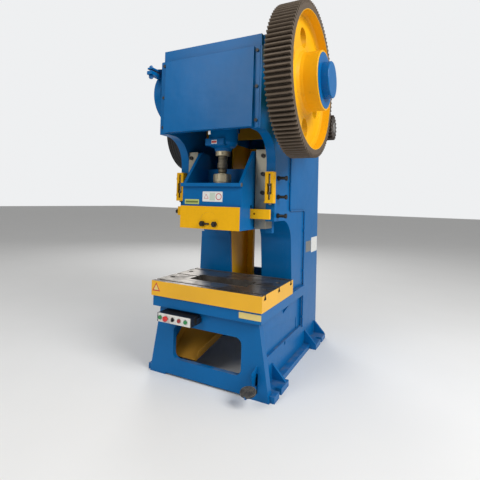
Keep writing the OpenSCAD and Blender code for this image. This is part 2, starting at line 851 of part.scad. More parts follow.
module crank_web_view() {
    r = 112;
    translate([ram_y, crank_z]) circle(r = r, $fn = round_n);
    translate([ram_y, pin_z]) circle(r = r, $fn = round_n);
    translate([ram_y - r, crank_z]) square([2 * r, throw]);
}

module crankshaft() {
    color("dimgray") {
        bar_x(-web_in_x - 1, web_in_x + 1, pin_r, ram_y, pin_z);
        for (s = [-1, 1]) {
            side_view(s > 0 ? web_in_x : -web_out_x, web_out_x - web_in_x) crank_web_view();
        }
        bar_x(web_out_x - 1, right_boss_x, journal_r, ram_y, crank_z);
        bar_x(-web_out_x + 1, -left_boss_x, journal_r, ram_y, crank_z);
        bar_x(right_boss_x - 1, shaft_end_x, gear_seat_r, ram_y, crank_z);
        bar_x(-left_boss_x + 1, -drum_x - drum_w - 12, gear_seat_r - 10, ram_y, crank_z);
    }
}

module brake_drum() {
    shell = 22;
    x0 = -drum_x - drum_w;
    color("royalblue") difference() {
        bar_x(x0, -drum_x, drum_r, ram_y, crank_z);
        difference() {
            bar_x(x0 - 1, x0 + 26, drum_r - shell, ram_y, crank_z);
            bar_x(x0 - 2, x0 + 27, gear_seat_r + 20, ram_y, crank_z);
        }
        bar_x(x0 - 1, -drum_x + 1, gear_seat_r - 10, ram_y, crank_z);
    }
}

// Band round the drum, open at the front where its two lugs are drawn together
band_t = 9;
band_w = drum_w - 16;
band_x = -drum_x - drum_w + 8;
lug_t = 25;
lug_w = 44;
lug_x = band_x + (band_w - lug_w) / 2;
lug_z = [crank_z + 137, crank_z + 152];
tension_y = ram_y - 285;
tension_r = 8;

module brake_band() {
    root_y = ram_y - 120;
    color("midnightblue") difference() {
        union() {
            bar_x(band_x, band_x + band_w, drum_r + seat_gap + band_t, ram_y, crank_z);
            side_view(lug_x, lug_w) polygon([
                [root_y, lug_z[0] - lug_t], [root_y, lug_z[0]], [tension_y - 22, lug_z[0]],
                [tension_y - 22, lug_z[0] - lug_t]
            ]);
            side_view(lug_x, lug_w) polygon([
                [root_y, lug_z[1]], [root_y, lug_z[1] + 52], [root_y - 34, lug_z[1] + 44],
                [tension_y + 40, lug_z[1] + 12], [tension_y - 16, lug_z[1] + 12], [tension_y - 16, lug_z[1]]
            ]);
            // tail that holds the band to the cheek
            block([band_x + band_w - 20, ram_y + drum_r - 2, crank_z - 30],
                  [-outer_x, ram_y + drum_r + 40, crank_z + 30]);
        }
        bar_x(band_x - 1, band_x + band_w + 100, drum_r + seat_gap, ram_y, crank_z);
        block([band_x - 1, ram_y - drum_r - 120, lug_z[0]], [band_x + band_w + 1, ram_y, lug_z[1]]);
        translate([lug_x + lug_w / 2, tension_y, lug_z[0] - lug_t - 1]) {
            cylinder(h = 2 * lug_t + 20, r = tension_r + fit_gap, $fn = small_n);
        }
    }
}

module brake_tension_bolt() {
    coils = 2;
    coil_h = 9;
    low_z = lug_z[0] - lug_t - coils * coil_h;
    color("royalblue") translate([lug_x + lug_w / 2, tension_y, 0]) {
        translate([0, 0, low_z - 10]) cylinder(h = lug_z[1] + 40 - low_z, r = tension_r, $fn = small_n);
        // compression spring under the lower lug, as a stack of rings
        for (i = [0 : coils - 1]) translate([0, 0, low_z + i * coil_h]) {
            cylinder(h = coil_h - 3, r = 18, $fn = small_n);
            cylinder(h = coil_h, r = 13, $fn = small_n);
        }
        translate([0, 0, lug_z[1] + 12]) cylinder(h = 12, r = 15, $fn = 6);
    }
}

// Gear train

// Half the angle, in degrees, that a tooth covers at radius r
function tooth_half(teeth, r) =
    let (rp = gear_module * teeth / 2, rb = rp * cos(pressure), at = acos(min(1, rb / max(r, rb))))
    (PI / 2 - backlash / 4 / gear_module) / teeth * 180 / PI
        + (tan(pressure) - tan(at)) * 180 / PI - pressure + at;

// Points of one tooth's outline from root to root, at angle a
function tooth_points(teeth, a, radii) = concat(
    [for (r = radii) r * [cos(a - tooth_half(teeth, r)), sin(a - tooth_half(teeth, r))]],
    [for (i = [len(radii) - 1 : -1 : 0])
        radii[i] * [cos(a + tooth_half(teeth, radii[i])), sin(a + tooth_half(teeth, radii[i]))]]);

module toothed_disc(teeth, radii, phase) {
    polygon([for (i = [0 : teeth - 1]) each tooth_points(teeth, phase + i * 360 / teeth, radii)]);
}

// The web's revolved section, drawn as radius and distance from the middle plane
module gear_section() {
    f = 22;
    bore_r = gear_seat_r + bush_t;
    polygon([
        [bore_r, right_boss_x + 12], [hub_r - 55, right_boss_x + 12], [hub_r - 55, web_x - web_t - 20],
        [hub_r - 35, web_x - web_t], [rim_in_r - f, web_x - web_t], [rim_in_r, web_x - web_t - f],
        [rim_in_r + 5, web_x - web_t - f], [rim_in_r + 5, web_x + f], [rim_in_r, web_x + f],
        [rim_in_r - f * 0.3, web_x + f * 0.3], [rim_in_r - f, web_x], [hub_r + f * 2, web_x],
        [hub_r + f * 0.8, web_x + f * 0.5], [hub_r + f * 0.2, web_x + f * 1.4], [hub_r, web_x + f * 2.4],
        [hub_r, hub_front_x - 3], [hub_r - 3, hub_front_x], [hub_r - 12, hub_front_x],
        [hub_r - 12, hub_front_x - 10], [bore_r, hub_front_x - 10]
    ]);
}

module main_gear() {
    hole_at = (rim_in_r + hub_r) / 2 - 20;
    first_hole = 67;
    tooth_radii = [gear_root_r, gear_pitch_r, gear_tip_r];
    color("orange") translate([0, ram_y, crank_z]) rotate([0, 90, 0]) difference() {
        union() {
            translate([0, 0, gear_x]) linear_extrude(height = gear_w) difference() {
                toothed_disc(gear_teeth, tooth_radii, 90 - pinion_drop);
                circle(r = rim_in_r, $fn = round_n);
            }
            rotate_extrude($fn = round_n) gear_section();
        }
        for (i = [0 : web_holes - 1]) rotate([0, 0, first_hole + i * 360 / web_holes]) {
            translate([hole_at, 0, web_x - web_t - 60])
                cylinder(h = web_t + 120, r = web_hole_r, $fn = small_n);
        }
    }
}

module gear_bush() {
    color("peru") difference() {
        bar_x(right_boss_x + 12, hub_front_x - 30, gear_seat_r + bush_t, ram_y, crank_z);
        bar_x(right_boss_x, hub_front_x, gear_seat_r + run_gap, ram_y, crank_z);
    }
}

module hub_cover_ring() {
    color("dodgerblue") difference() {
        bar_x(hub_front_x - 10, hub_front_x + 2, hub_r - 12 - seat_gap, ram_y, crank_z);
        bar_x(hub_front_x - 11, hub_front_x + 3, cap_r - 20, ram_y, crank_z);
    }
}

module end_cap() {
    color("dodgerblue") {
        bar_x(hub_front_x + 2, hub_front_x + 2 + cap_l - 4, cap_r, ram_y, crank_z);
        translate([hub_front_x + cap_l - 2, ram_y, crank_z]) rotate([0, 90, 0]) {
            cylinder(h = 4, r1 = cap_r, r2 = cap_r - 4, $fn = round_n);
        }
        bar_x(hub_front_x - 8, hub_front_x + 3, cap_r - 20 - seat_gap, ram_y, crank_z);
    }
}

module countershaft() {
    color("dimgray") bar_x(-flywheel_x - flywheel_w - 22, gear_front_x + 14, back_shaft_r, back_y, back_z);
}

module pinion() {
    radii = [pinion_pitch_r - 1.25 * gear_module, pinion_pitch_r - 0.6 * gear_module, pinion_pitch_r,
             pinion_pitch_r + gear_module];
    // a tooth space faces the gear
    color("dimgray") translate([0, back_y, back_z]) rotate([0, 90, 0]) difference() {
        translate([0, 0, gear_x - 10]) linear_extrude(height = gear_w + 20) {
            toothed_disc(pinion_teeth, radii, 270 - pinion_drop + 180 / pinion_teeth);
        }
        translate([0, 0, gear_x - 11]) cylinder(h = gear_w + 22, r = back_shaft_r, $fn = round_n);
    }
}

// Distance of each belt from the middle plane
function belt_at() = [for (i = [0 : belts - 1]) belt_x + (i - (belts - 1) / 2) * belt_pitch];

// Cuts one groove for a belt into a wheel on the motor side's axis line
module groove(x, r) {
    translate([0, 0, x - belt_w / 2 - belt_clear]) difference() {
        cylinder(h = belt_w + 2 * belt_clear, r = r + 40, $fn = round_n);
        translate([0, 0, -1]) cylinder(h = belt_w + 4, r = r - belt_t / 2 - belt_clear, $fn = round_n);
    }
}

module flywheel() {
    web = 44;
    rim = 62;
    color("dimgray") translate([0, back_y, back_z]) rotate([0, -90, 0]) difference() {
        union() {
            translate([0, 0, flywheel_x]) cylinder(h = flywheel_w, r = flywheel_r, $fn = round_n);
            translate([0, 0, flywheel_x - 8])
                cylinder(h = flywheel_w + 16, r = back_shaft_r + 38, $fn = round_n);
        }
        recess = (flywheel_w - web) / 2;
        for (side = [[flywheel_x - 1, recess + 1], [flywheel_x + flywheel_w - recess, 80]]) {
            translate([0, 0, side[0]]) difference() {
                cylinder(h = side[1], r = flywheel_r - rim, $fn = round_n);
                translate([0, 0, -20]) cylinder(h = 160, r = back_shaft_r + 38, $fn = round_n);
            }
        }
        for (i = [0 : 5]) rotate([0, 0, i * 60]) {
            translate([(flywheel_r - rim + back_shaft_r + 38) / 2, 0, flywheel_x]) {
                cylinder(h = flywheel_w, r = 45, $fn = small_n);
            }
        }
        for (x = belt_at()) groove(x, belt_r);
        translate([0, 0, flywheel_x - 20]) cylinder(h = flywheel_w + 60, r = back_shaft_r, $fn = round_n);
    }
}

module motor_pulley() {
    wheel_x = [belt_at()[0] - 20, belt_at()[belts - 1] + 20];
    color("dimgray") translate([0, motor_y, motor_z]) rotate([0, -90, 0]) {
        difference() {
            translate([0, 0, wheel_x[0]])
                cylinder(h = wheel_x[1] - wheel_x[0], r = pulley_r + 9, $fn = round_n);
            for (x = belt_at()) groove(x, pulley_r);
        }
        translate([0, 0, flywheel_x - 120])
            cylinder(h = wheel_x[0] - flywheel_x + 121, r = motor_shaft_r, $fn = small_n);
    }
}

// Outline of a belt's outer or inner edge round both wheels, drawn about the flywheel's axis
module belt_loop(grow) {
    d = [motor_y - back_y, motor_z - back_z];
    span = norm(d);
    a = atan2(d[1], d[0]);
    t = acos((belt_r - pulley_r) / span);
    r1 = belt_r + grow;
    r2 = pulley_r + grow;
    p1 = r1 - belt_sink;
    p2 = r2 - belt_sink;
    circle(r = r1, $fn = round_n);
    translate(d) circle(r = r2, $fn = round_n);
    polygon([p1 * [cos(a + t), sin(a + t)], p1 * [cos(a - t), sin(a - t)],
             d + p2 * [cos(a - t), sin(a - t)], d + p2 * [cos(a + t), sin(a + t)]]);
}

module v_belts() {
    color("black") for (x = belt_at()) translate([0, back_y, back_z]) {
        side_view(-x - belt_w / 2, belt_w) difference() {
            belt_loop(belt_t / 2);
            belt_loop(-belt_t / 2);
        }
    }
}

module motor_body() {
    body_l = 360;
    body_x = [-flywheel_x + 110, -flywheel_x + 110 + body_l];
    fins = 20;
    foot_z = motor_z - 132;
    color("royalblue") difference() {
        union() {
            bar_x(body_x[0], body_x[1], motor_r, motor_y, motor_z);
            bar_x(body_x[1] - 1, body_x[1] + 70, motor_r - 6, motor_y, motor_z);
            for (i = [0 : fins - 1]) translate([body_x[0] + 30, motor_y, motor_z]) {
                rotate([i * 360 / fins, 0, 0]) block([0, -2.5, 0], [body_l - 60, 2.5, motor_r + 10]);
            }
            block([body_x[0] + 40, motor_y - 110, foot_z], [body_x[1] - 40, motor_y + 110, foot_z + 18]);
            block([body_x[0] + 60, motor_y - 90, foot_z], [body_x[1] - 60, motor_y + 90, motor_z]);
            block([body_x[0] + 110, motor_y - 60, motor_z],
                [body_x[1] - 110, motor_y + 60, motor_z + motor_r + 45]);
        }
        bar_x(body_x[0] - 1, body_x[0] + 40, motor_shaft_r + run_gap, motor_y, motor_z, small_n);
    }
}

module motor_bracket() {
    shelf_z = motor_z - 132;
    color("royalblue") {
        block([-outer_x, rear_y, shelf_z - 150], [-20, rear_y + 20, shelf_z + 220]);
        block([-outer_x - 40, rear_y, shelf_z - 22], [-20, motor_y + 125, shelf_z]);
        for (x = [-outer_x, -40]) {
            side_view(x, 18) polygon([[rear_y + 19, shelf_z - 150], [rear_y + 19, shelf_z - 21],
                                      [motor_y + 90, shelf_z - 21], [motor_y + 90, shelf_z - 40]]);
        }
    }
}

// Connecting rod and ball screw

rod_screw_x = 62;
rod_bolt_y = 112;
screw_r = 35;

module connecting_rod() {
    color("royalblue") difference() {
        union() {
            bar_x(-big_end_w / 2, big_end_w / 2, big_end_r, ram_y, pin_z);
            block([-big_end_w / 2, ram_y - rod_bolt_y - 26, pin_z - 70],
                [big_end_w / 2, ram_y + rod_bolt_y + 26, pin_z]);
            block([-big_end_w / 2, ram_y - 96, rod_foot_z + 150], [big_end_w / 2, ram_y + 96, pin_z]);
            translate([0, ram_y, rod_foot_z]) rotate_extrude($fn = round_n) polygon([
                [0, 0], [62, 0], [66, 22], [92, 34], [rod_body_r, 62], [rod_body_r, 250], [84, 320], [0, 320]
            ]);
            // flat for the plate on the bell's front
            block([-86, ram_y - rod_body_r - 6, rod_foot_z + 34], [68, ram_y, rod_foot_z + 84]);
        }
        bar_x(-big_end_w, big_end_w, pin_r + run_gap, ram_y, pin_z);
        block([-big_end_w, ram_y - 200, pin_z], [big_end_w, ram_y + 200, pin_z + 200]);
        translate([0, ram_y, rod_foot_z - 1]) cylinder(h = 262, r = screw_r, $fn = round_n);
        for (sx = [-1, 1], sy = [-1, 1]) {
            translate([sx * rod_screw_x, ram_y + sy * rod_bolt_y, pin_z - 60])
                cylinder(h = 61, r = 11, $fn = small_n);
        }
    }
}

module rod_cap() {
    color("royalblue") difference() {
        union() {
            bar_x(-big_end_w / 2, big_end_w / 2, big_end_r, ram_y, pin_z);
            block([-big_end_w / 2, ram_y - rod_bolt_y - 26, pin_z],
                [big_end_w / 2, ram_y + rod_bolt_y + 26, pin_z + 50]);
        }
        bar_x(-big_end_w, big_end_w, pin_r + run_gap, ram_y, pin_z);
        block([-big_end_w, ram_y - 200, pin_z - 200], [big_end_w, ram_y + 200, pin_z + fit_gap]);
        for (sx = [-1, 1], sy = [-1, 1]) {
            translate([sx * rod_screw_x, ram_y + sy * rod_bolt_y, pin_z - 1])
                cylinder(h = 80, r = 11.5, $fn = small_n);
        }
        for (sy = [-1, 1]) {
            y0 = ram_y + sy * rod_bolt_y;
            block([-big_end_w, min(y0, y0 + sy * 60) - (sy > 0 ? 19 : 0), pin_z + 50],
                  [big_end_w, max(y0, y0 + sy * 60) + (sy > 0 ? 0 : 19), pin_z + 150]);
        }
    }
}

module rod_bolts() {
    color("dimgray") for (sx = [-1, 1], sy = [-1, 1]) {
        translate([sx * rod_screw_x, ram_y + sy * rod_bolt_y, 0]) {
            translate([0, 0, pin_z - 55]) cylinder(h = 106, r = 11, $fn = small_n);
            translate([0, 0, pin_z + 50]) cylinder(h = 15, r = 17 / cos(30), $fn = 6);
        }
    }
}

module ball_screw() {
    seat_z = deck_z + swing_gap;
    flange_z = seat_z + 104;
    collar_z = rod_foot_z - lock_nut_h - 96;
    color("silver") translate([0, ram_y, 0]) rotate_extrude($fn = round_n) polygon([
        [0, seat_z + 30], [27, seat_z + 30], [27, flange_z], [33, flange_z + 4], [33, flange_z + 24],
        [30, flange_z + 28], [30, flange_z + 34], [37, collar_z], [40, collar_z + 5], [40, collar_z + 40],
        [37, collar_z + 46], [screw_r, collar_z + 46], [screw_r, rod_foot_z + 240], [0, rod_foot_z + 240]
    ]);
}

module lock_nut() {
    outer = 55;
    hole_r = 6;
    nut_z = rod_foot_z - lock_nut_h;
    color("silver") difference() {
        translate([0, ram_y, nut_z]) difference() {
            cylinder(h = lock_nut_h, r = outer, $fn = round_n);
            translate([0, 0, -1]) cylinder(h = lock_nut_h + 2, r = screw_r + run_gap, $fn = round_n);
        }
        for (i = [0 : 5]) translate([0, ram_y, nut_z + lock_nut_h / 2]) rotate([0, 90, i * 60 - 65]) {
            translate([0, 0, outer - 9]) cylinder(h = 12, r = hole_r, $fn = small_n);
        }
    }
}

module ball_seat_nut() {
    seat_z = deck_z + swing_gap;
    color("silver") difference() {
        translate([0, ram_y, seat_z]) rotate_extrude($fn = round_n) polygon([
            [0, 0], [seat_nut_r - 6, 0], [seat_nut_r - 6, 30], [seat_nut_r, 34], [seat_nut_r, 88],
            [seat_nut_r - 5, 93], [34, 93], [34, 100], [27, 100], [27, 30], [0, 30]
        ]);
        for (i = [0 : 7]) translate([0, ram_y, seat_z]) rotate([0, 0, i * 45]) {
            block([seat_nut_r - 4, -7, 50], [seat_nut_r + 2, 7, 100]);
        }
    }
}

// Slide

clamp_w = 150;
clamp_top = 122;
clamp_stud_x = 50;
clamp_stud_z = slide_z + 38;

// Front view of the arch-shaped clamp block
module clamp_view(grow) {
    arch_r = clamp_w / 2 + grow;
    translate([-arch_r, slide_z - 10]) square([2 * arch_r, clamp_top - clamp_w / 2 + 10]);
    translate([0, slide_z + clamp_top - clamp_w / 2]) circle(r = arch_r, $fn = round_n);
}

module knockout_slot() {
    block([-slide_x - 60, ram_y - bar_t / 2 - seat_gap, bar_z - seat_gap],
          [slide_x + 60, ram_y + bar_t / 2 + seat_gap, bar_z + bar_h + bar_travel + seat_gap]);
}

module slide_block() {
    front_y = ram_y - slide_front;
    rear_face_y = ram_y + slide_rear;
    face_y = front_y + face_setback;
    top_z = slide_z + slide_h;
    hopper_back_y = rear_face_y - 30;
    ledge_t = 25;
    color("royalblue") difference() {
        union() {
            block([-slide_x - 2, front_y, slide_z], [slide_x + 2, face_y + 1, slide_z + block_h]);
            block([-slide_x, face_y, slide_z], [slide_x, rear_face_y, deck_z]);
            block([-slide_x, face_y, deck_z - 1], [slide_x, face_y + slide_wall, ledge_z]);
            block([-slide_x - 6, front_y, ledge_z - ledge_t], [slide_x + 6, face_y + 1, ledge_z]);
            block([-slide_x, hopper_back_y, deck_z - 1], [slide_x, rear_face_y, deck_z + 160]);
            for (s = [0, 1]) mirror([s, 0, 0]) {
                side_view(slide_x - slide_wall, slide_wall) polygon([
                    [face_y, deck_z - 1], [face_y, ledge_z], [column_y, top_z], [rear_face_y, top_z],
                    [rear_face_y, deck_z - 1]
                ]);
                translate([0, 0, slide_z]) linear_extrude(height = slide_h) ridge_plan(0);
            }
        }
        knockout_slot();
        translate([0, ram_y, slide_z - 1]) cylinder(h = shank_h + 1, r = shank_r, $fn = round_n);
        translate([0, ram_y, slide_z]) cylinder(h = bar_z - slide_z + 1, r = 13, $fn = small_n);
        front_view(front_y - 10, slide_front + 10) clamp_view(fit_gap);
        for (s = [-1, 1]) {
            bar_y(ram_y - 1, 90, 12, s * clamp_stud_x, clamp_stud_z);
        }
    }
}

module shank_clamp() {
    front_y = ram_y - slide_front;
    color("gold") difference() {
        intersection() {
            front_view(front_y, slide_front - fit_gap) clamp_view(0);
            block([-clamp_w, front_y - 1, slide_z], [clamp_w, ram_y, slide_z + clamp_top + 1]);
        }
        knockout_slot();
        translate([0, ram_y, slide_z - 1]) cylinder(h = shank_h + 1, r = shank_r, $fn = round_n);
        translate([0, ram_y, slide_z]) cylinder(h = bar_z - slide_z + 1, r = 13, $fn = small_n);
        for (s = [-1, 1]) {
            bar_y(front_y - 1, slide_front + 2, 12.5, s * clamp_stud_x, clamp_stud_z);
        }
    }
}

// Studs, nuts and the tightening screw on the clamp's face
module clamp_nuts() {
    front_y = ram_y - slide_front;
    color("dimgray") {
        for (s = [-1, 1]) {
            bar_y(front_y - 26, slide_front + 100, 12, s * clamp_stud_x, clamp_stud_z);
            hex_y(front_y - 19, 19, 36, s * clamp_stud_x, clamp_stud_z);
        }
        block([-clamp_stud_x + 18, front_y - 12, clamp_stud_z - 6], [4, front_y - 0.2, clamp_stud_z + 6]);
    }
}

module knockout_bar() {
    color("gold") difference() {
        block([-bar_l / 2, ram_y - bar_t / 2, bar_z], [bar_l / 2, ram_y + bar_t / 2, bar_z + bar_h]);
        for (s = [-1, 1]) {
            bar_y(ram_y - bar_t, 2 * bar_t, 8, s * (slide_x + 32), bar_z + 36);
        }
    }
}

// Chute under the drop opening

module scrap_chute() {
    slope = 40;
    lip_y = leg_back_y + 8;
    lip_z = 122;
    run = (bed_under_z - 4 - lip_z) / sin(slope);
    left_x = -inner_x;
    sheet = 4;
    wall_h = 60;
    lip_x = -121;
    top_x = 175;
    color("goldenrod") difference() {
        translate([0, lip_y, lip_z]) rotate([slope, 0, 0]) {
            linear_extrude(height = sheet) polygon([[left_x, 0], [lip_x, 0], [top_x, run], [left_x, run]]);
            block([left_x, 0, 0], [left_x + sheet, run, wall_h]);
            linear_extrude(height = wall_h) polygon([[lip_x - sheet, 0], [lip_x, 0], [top_x, run],
                                                     [top_x - sheet, run]]);
        }
        // the side walls stop behind the leg plate and under the bed plate
        block([-outer_x, leg_front_y, 0], [outer_x, leg_back_y + 5, bed_z]);
        block([-outer_x, leg_back_y, bed_under_z - 3], [outer_x, rear_y, bed_z]);
    }
}

// Controls

module control_box() {
    color("black") difference() {
        union() {
            block([box_x, box_front_y, box_z], [box_x + box_w, leg_front_y, box_z + box_h]);
            block([box_x + box_w - 1, leg_front_y - 60, box_z + 12],
                [box_x + box_w + 12, leg_front_y, box_z + 50]);
        }
        for (i = [0 : 4]) {
            bar_y(box_front_y - 1, 34, button_bore(i), button_x(i), button_z, small_n);
        }
    }
}

button_z = box_z + box_h / 2;
function button_x(i) = box_x + 26 + i * button_pitch;
function button_bore(i) = i == 1 ? 11 : 13;

// A round push button with a bezel-free cap, at place i
module push_button(i) {
    bar_y(box_front_y - 10, 30, button_bore(i) - run_gap, button_x(i), button_z);
}

module start_button() { color("green") push_button(0); }

module stop_mushroom() {
    color("red") {
        bar_y(box_front_y - 20, 42, button_bore(1) - run_gap, button_x(1), button_z);
        translate([button_x(1), box_front_y - 14, button_z]) rotate([90, 0, 0]) {
            cylinder(h = 8, r = 20, $fn = small_n);
            translate([0, 0, 8]) cylinder(h = 7, r1 = 20, r2 = 13, $fn = small_n);
        }
    }
}

module mode_selector() {
    color("black") {
        bar_y(box_front_y - 6, 28, button_bore(2) - run_gap, button_x(2), button_z);
        block([button_x(2) - 4, box_front_y - 18, button_z - 11],
            [button_x(2) + 4, box_front_y - 5, button_z + 11]);
    }
}

module inch_button() { color("firebrick") push_button(3); }

module motor_button() { color("green") push_button(4); }

module treadle() {
    bar_w = 10;
    bar_hgt = 24;
    x0 = treadle_x - bar_w / 2;
    knee = [treadle_y - 120, treadle_z - 113];
    toe = [leg_front_y - 158, treadle_z - 100];
    fall = knee - [treadle_y, treadle_z];
    run = toe - knee;
    color("dimgray") difference() {
        union() {
            translate([0, treadle_y, treadle_z]) rotate([atan2(fall[1], fall[0]), 0, 0]) {
                block([x0, 0, -bar_hgt / 2], [x0 + bar_w, norm(fall), bar_hgt / 2]);
            }
            translate([0, knee[0], knee[1]]) rotate([atan2(run[1], run[0]), 0, 0]) {
                block([x0, 0, -bar_hgt / 2], [x0 + bar_w, norm(run), bar_hgt / 2]);
            }
            bar_x(x0 - 1, x0 + bar_w + 1, bar_hgt / 2 + 1, knee[0], knee[1], small_n);
            bar_x(x0 - 4, x0 + bar_w + 1, treadle_pin_r + 14, treadle_y, treadle_z, small_n);
            translate([treadle_x, leg_front_y - 116, treadle_z - 88]) rotate([12, 0, 0]) {
                cylinder(h = 10, r = pad_r, $fn = round_n);
            }
        }
        bar_x(x0 - 10, x0 + bar_w + 10, treadle_pin_r + run_gap, treadle_y, treadle_z, small_n);
    }
}

// Conduit on the right cheek

pipe_r = 6;
pipe_x = outer_x + 8;
pipe_bend = 30;

// Quarter bend about [y, z], which starts at angle a
module pipe_bend_at(y, z, a) {
    translate([pipe_x, y, z]) rotate([90, 0, 90]) rotate([0, 0, a]) {
        rotate_extrude(angle = 90, $fn = round_n) translate([pipe_bend, 0])
            circle(r = pipe_r, $fn = small_n);
    }
}

module conduit_pipe() {
    upper_y = column_y + 316;
    lower_y = rear_y - 473;
    foot_z = 215;
    jog_z = column_z + 72;
    top_z = head_under_z + 19;
    color("royalblue") {
        translate([pipe_x, upper_y, jog_z + pipe_bend]) {
            cylinder(h = top_z - jog_z - pipe_bend, r = pipe_r, $fn = small_n);
        }
        pipe_bend_at(upper_y + pipe_bend, jog_z + pipe_bend, 180);
        bar_y(upper_y + pipe_bend, lower_y - upper_y - 2 * pipe_bend, pipe_r, pipe_x, jog_z);
        pipe_bend_at(lower_y - pipe_bend, jog_z - pipe_bend, 0);
        translate([pipe_x, lower_y, foot_z]) {
            cylinder(h = jog_z - pipe_bend - foot_z, r = pipe_r, $fn = small_n);
        }
        for (f = [0.24, 0.565, 0.847]) {
            block([outer_x, lower_y - 14, f * jog_z], [pipe_x + pipe_r, lower_y + 14, f * jog_z + 22]);
        }
        block([outer_x, upper_y - 14, jog_z + 200], [pipe_x + pipe_r, upper_y + 14, jog_z + 222]);
    }
}

left_cheek();
right_cheek();
front_leg_plate();
bed_plate();
left_foot_rail();
right_foot_rail();
rear_sill_plate();
rear_head_plate();
head_top_plate();
head_front_beam();
crank_box_web();
throat_plates();
column_channels();
bolster();
bolster_screws();
left_gib();
right_gib();
gib_screws();
gib_adjusters();
left_knockout_bracket();
right_knockout_bracket();
knockout_stop_screws();
front_cover();
cover_screws();
crank_bushes();
shaft_bushes();
brake_band();
brake_tension_bolt();
motor_bracket();
motor_body();
v_belts();
scrap_chute();
control_box();
conduit_pipe();
main_gear();
gear_bush();
hub_cover_ring();
end_cap();
countershaft();
pinion();
flywheel();
motor_pulley();
crankshaft();
brake_drum();
connecting_rod();
rod_cap();
rod_bolts();
ball_screw();
lock_nut();
ball_seat_nut();
slide_block();
shank_clamp();
clamp_nuts();
knockout_bar();
treadle();
start_button();
stop_mushroom();
mode_selector();
inch_button();
motor_button();
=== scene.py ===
# %% [markdown]
# # An open-back stamping press
# The press is a welded C-shaped frame that carries a crank, one large open gear, a flywheel and a slide.
# Its solids come finished from the CAD model, and this file never moves or reshapes them. It gives each
# a surface, and adds what is too small for CAD: plates, rivets, weld beads, threads and a spring.

# %% Load the solids
import math

import bmesh
import bpy
from mathutils import Matrix, Vector


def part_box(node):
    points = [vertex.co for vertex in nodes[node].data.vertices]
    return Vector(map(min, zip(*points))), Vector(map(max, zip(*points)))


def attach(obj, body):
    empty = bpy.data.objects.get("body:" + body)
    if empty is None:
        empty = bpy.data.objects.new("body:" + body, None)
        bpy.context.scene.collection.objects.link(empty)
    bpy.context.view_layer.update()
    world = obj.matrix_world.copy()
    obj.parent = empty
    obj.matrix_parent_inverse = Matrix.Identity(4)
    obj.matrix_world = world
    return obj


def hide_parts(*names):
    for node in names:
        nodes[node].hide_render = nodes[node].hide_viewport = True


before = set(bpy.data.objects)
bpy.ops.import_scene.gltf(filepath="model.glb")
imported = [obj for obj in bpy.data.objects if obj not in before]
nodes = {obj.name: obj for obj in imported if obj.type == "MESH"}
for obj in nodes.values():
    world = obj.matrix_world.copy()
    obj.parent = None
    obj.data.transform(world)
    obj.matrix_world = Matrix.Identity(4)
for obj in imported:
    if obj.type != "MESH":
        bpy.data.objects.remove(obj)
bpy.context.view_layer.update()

# %% [markdown]
# ## Places
# Most places below come from a solid's own box, so a label stays on its plate when the CAD model
# changes. Blender works in metres and a press is drawn in millimetres, so MM turns one into the other.

# %% Measure the solids
MM = 0.001
places = {name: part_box(name) for name in nodes}


def middle(name):
    """The middle of a solid's box."""
    low, high = places[name]
    return (low + high) / 2


crank_axis = middle("main_gear")
crank_axis.x = 0
slide_low = places["slide_block"][0]
bolster_low, bolster_high = places["bolster"]
bed_low, bed_high = places["bed_plate"]
head_low, head_high = places["head_top_plate"]
box_low, box_high = places["control_box"]
cover_back = places["front_cover"][1].y
inner_x = head_high.x
outer_x = places["right_foot_rail"][0].x
LEG_PLATE_T = 60 * MM
leg_front_y = places["front_leg_plate"][1].y - LEG_PLATE_T
print("crank axis:", [round(v, 3) for v in crank_axis])
print("cheeks, from the middle:", round(inner_x, 3), "to", round(outer_x, 3))

# %% [markdown]
# ## Camera
# The photograph was taken from the operator's right, at chest height, with a short lens. The camera
# looks very slightly upwards, and the shift moves the picture down, as a crop does, so that the press
# keeps upright edges. A camera looks along its own -Z, so its three directions are worked out and set as
# the columns of its matrix.

# %% Place the camera
CAMERA_AT = Vector((1376.9, -2920.4, 1316.0)) * MM
TURN = math.radians(26.87)
RISE = math.radians(1.16)
ROLL = math.radians(1.44)
SENSOR_MM = 36.0
LENS_MM = 27.68
SHIFT = (0.0017, -0.0988)


def place_camera():
    """Makes the scene's camera from its place, its heading, its rise and its roll."""
    level = Vector((math.cos(TURN), math.sin(TURN), 0))
    heading = Vector((-math.sin(TURN), math.cos(TURN), 0))
    forward = heading * math.cos(RISE) + Vector((0, 0, math.sin(RISE)))
    upright = level.cross(forward)
    right = level * math.cos(ROLL) + upright * math.sin(ROLL)
    top = upright * math.cos(ROLL) - level * math.sin(ROLL)
    data = bpy.data.cameras.new("camera")
    data.sensor_width = SENSOR_MM
    data.lens = LENS_MM
    data.shift_x, data.shift_y = SHIFT
    camera = bpy.data.objects.new("camera", data)
    bpy.context.scene.collection.objects.link(camera)
    turned_to = Matrix((right, top, -forward)).transposed().to_4x4()
    camera.matrix_world = Matrix.Translation(CAMERA_AT) @ turned_to
    bpy.context.scene.camera = camera
    return camera


camera = place_camera()
print("camera looks along", [round(v, 3) for v in -camera.matrix_world.col[2].to_3d()])

# %% [markdown]
# ## Shader sums
# A surface is a sum: paint times a patchy tone, plus dust where it faces up. Written as nodes, a sum is
# hard to read. A small class holds a node's socket and answers to Python's operators, so `1 - mask` adds
# its Math node. The reflected forms, such as __rsub__, are what Python calls when the plain number
# stands on the left. For a sum and a product they are the same as the others.

# %% A socket that takes part in sums


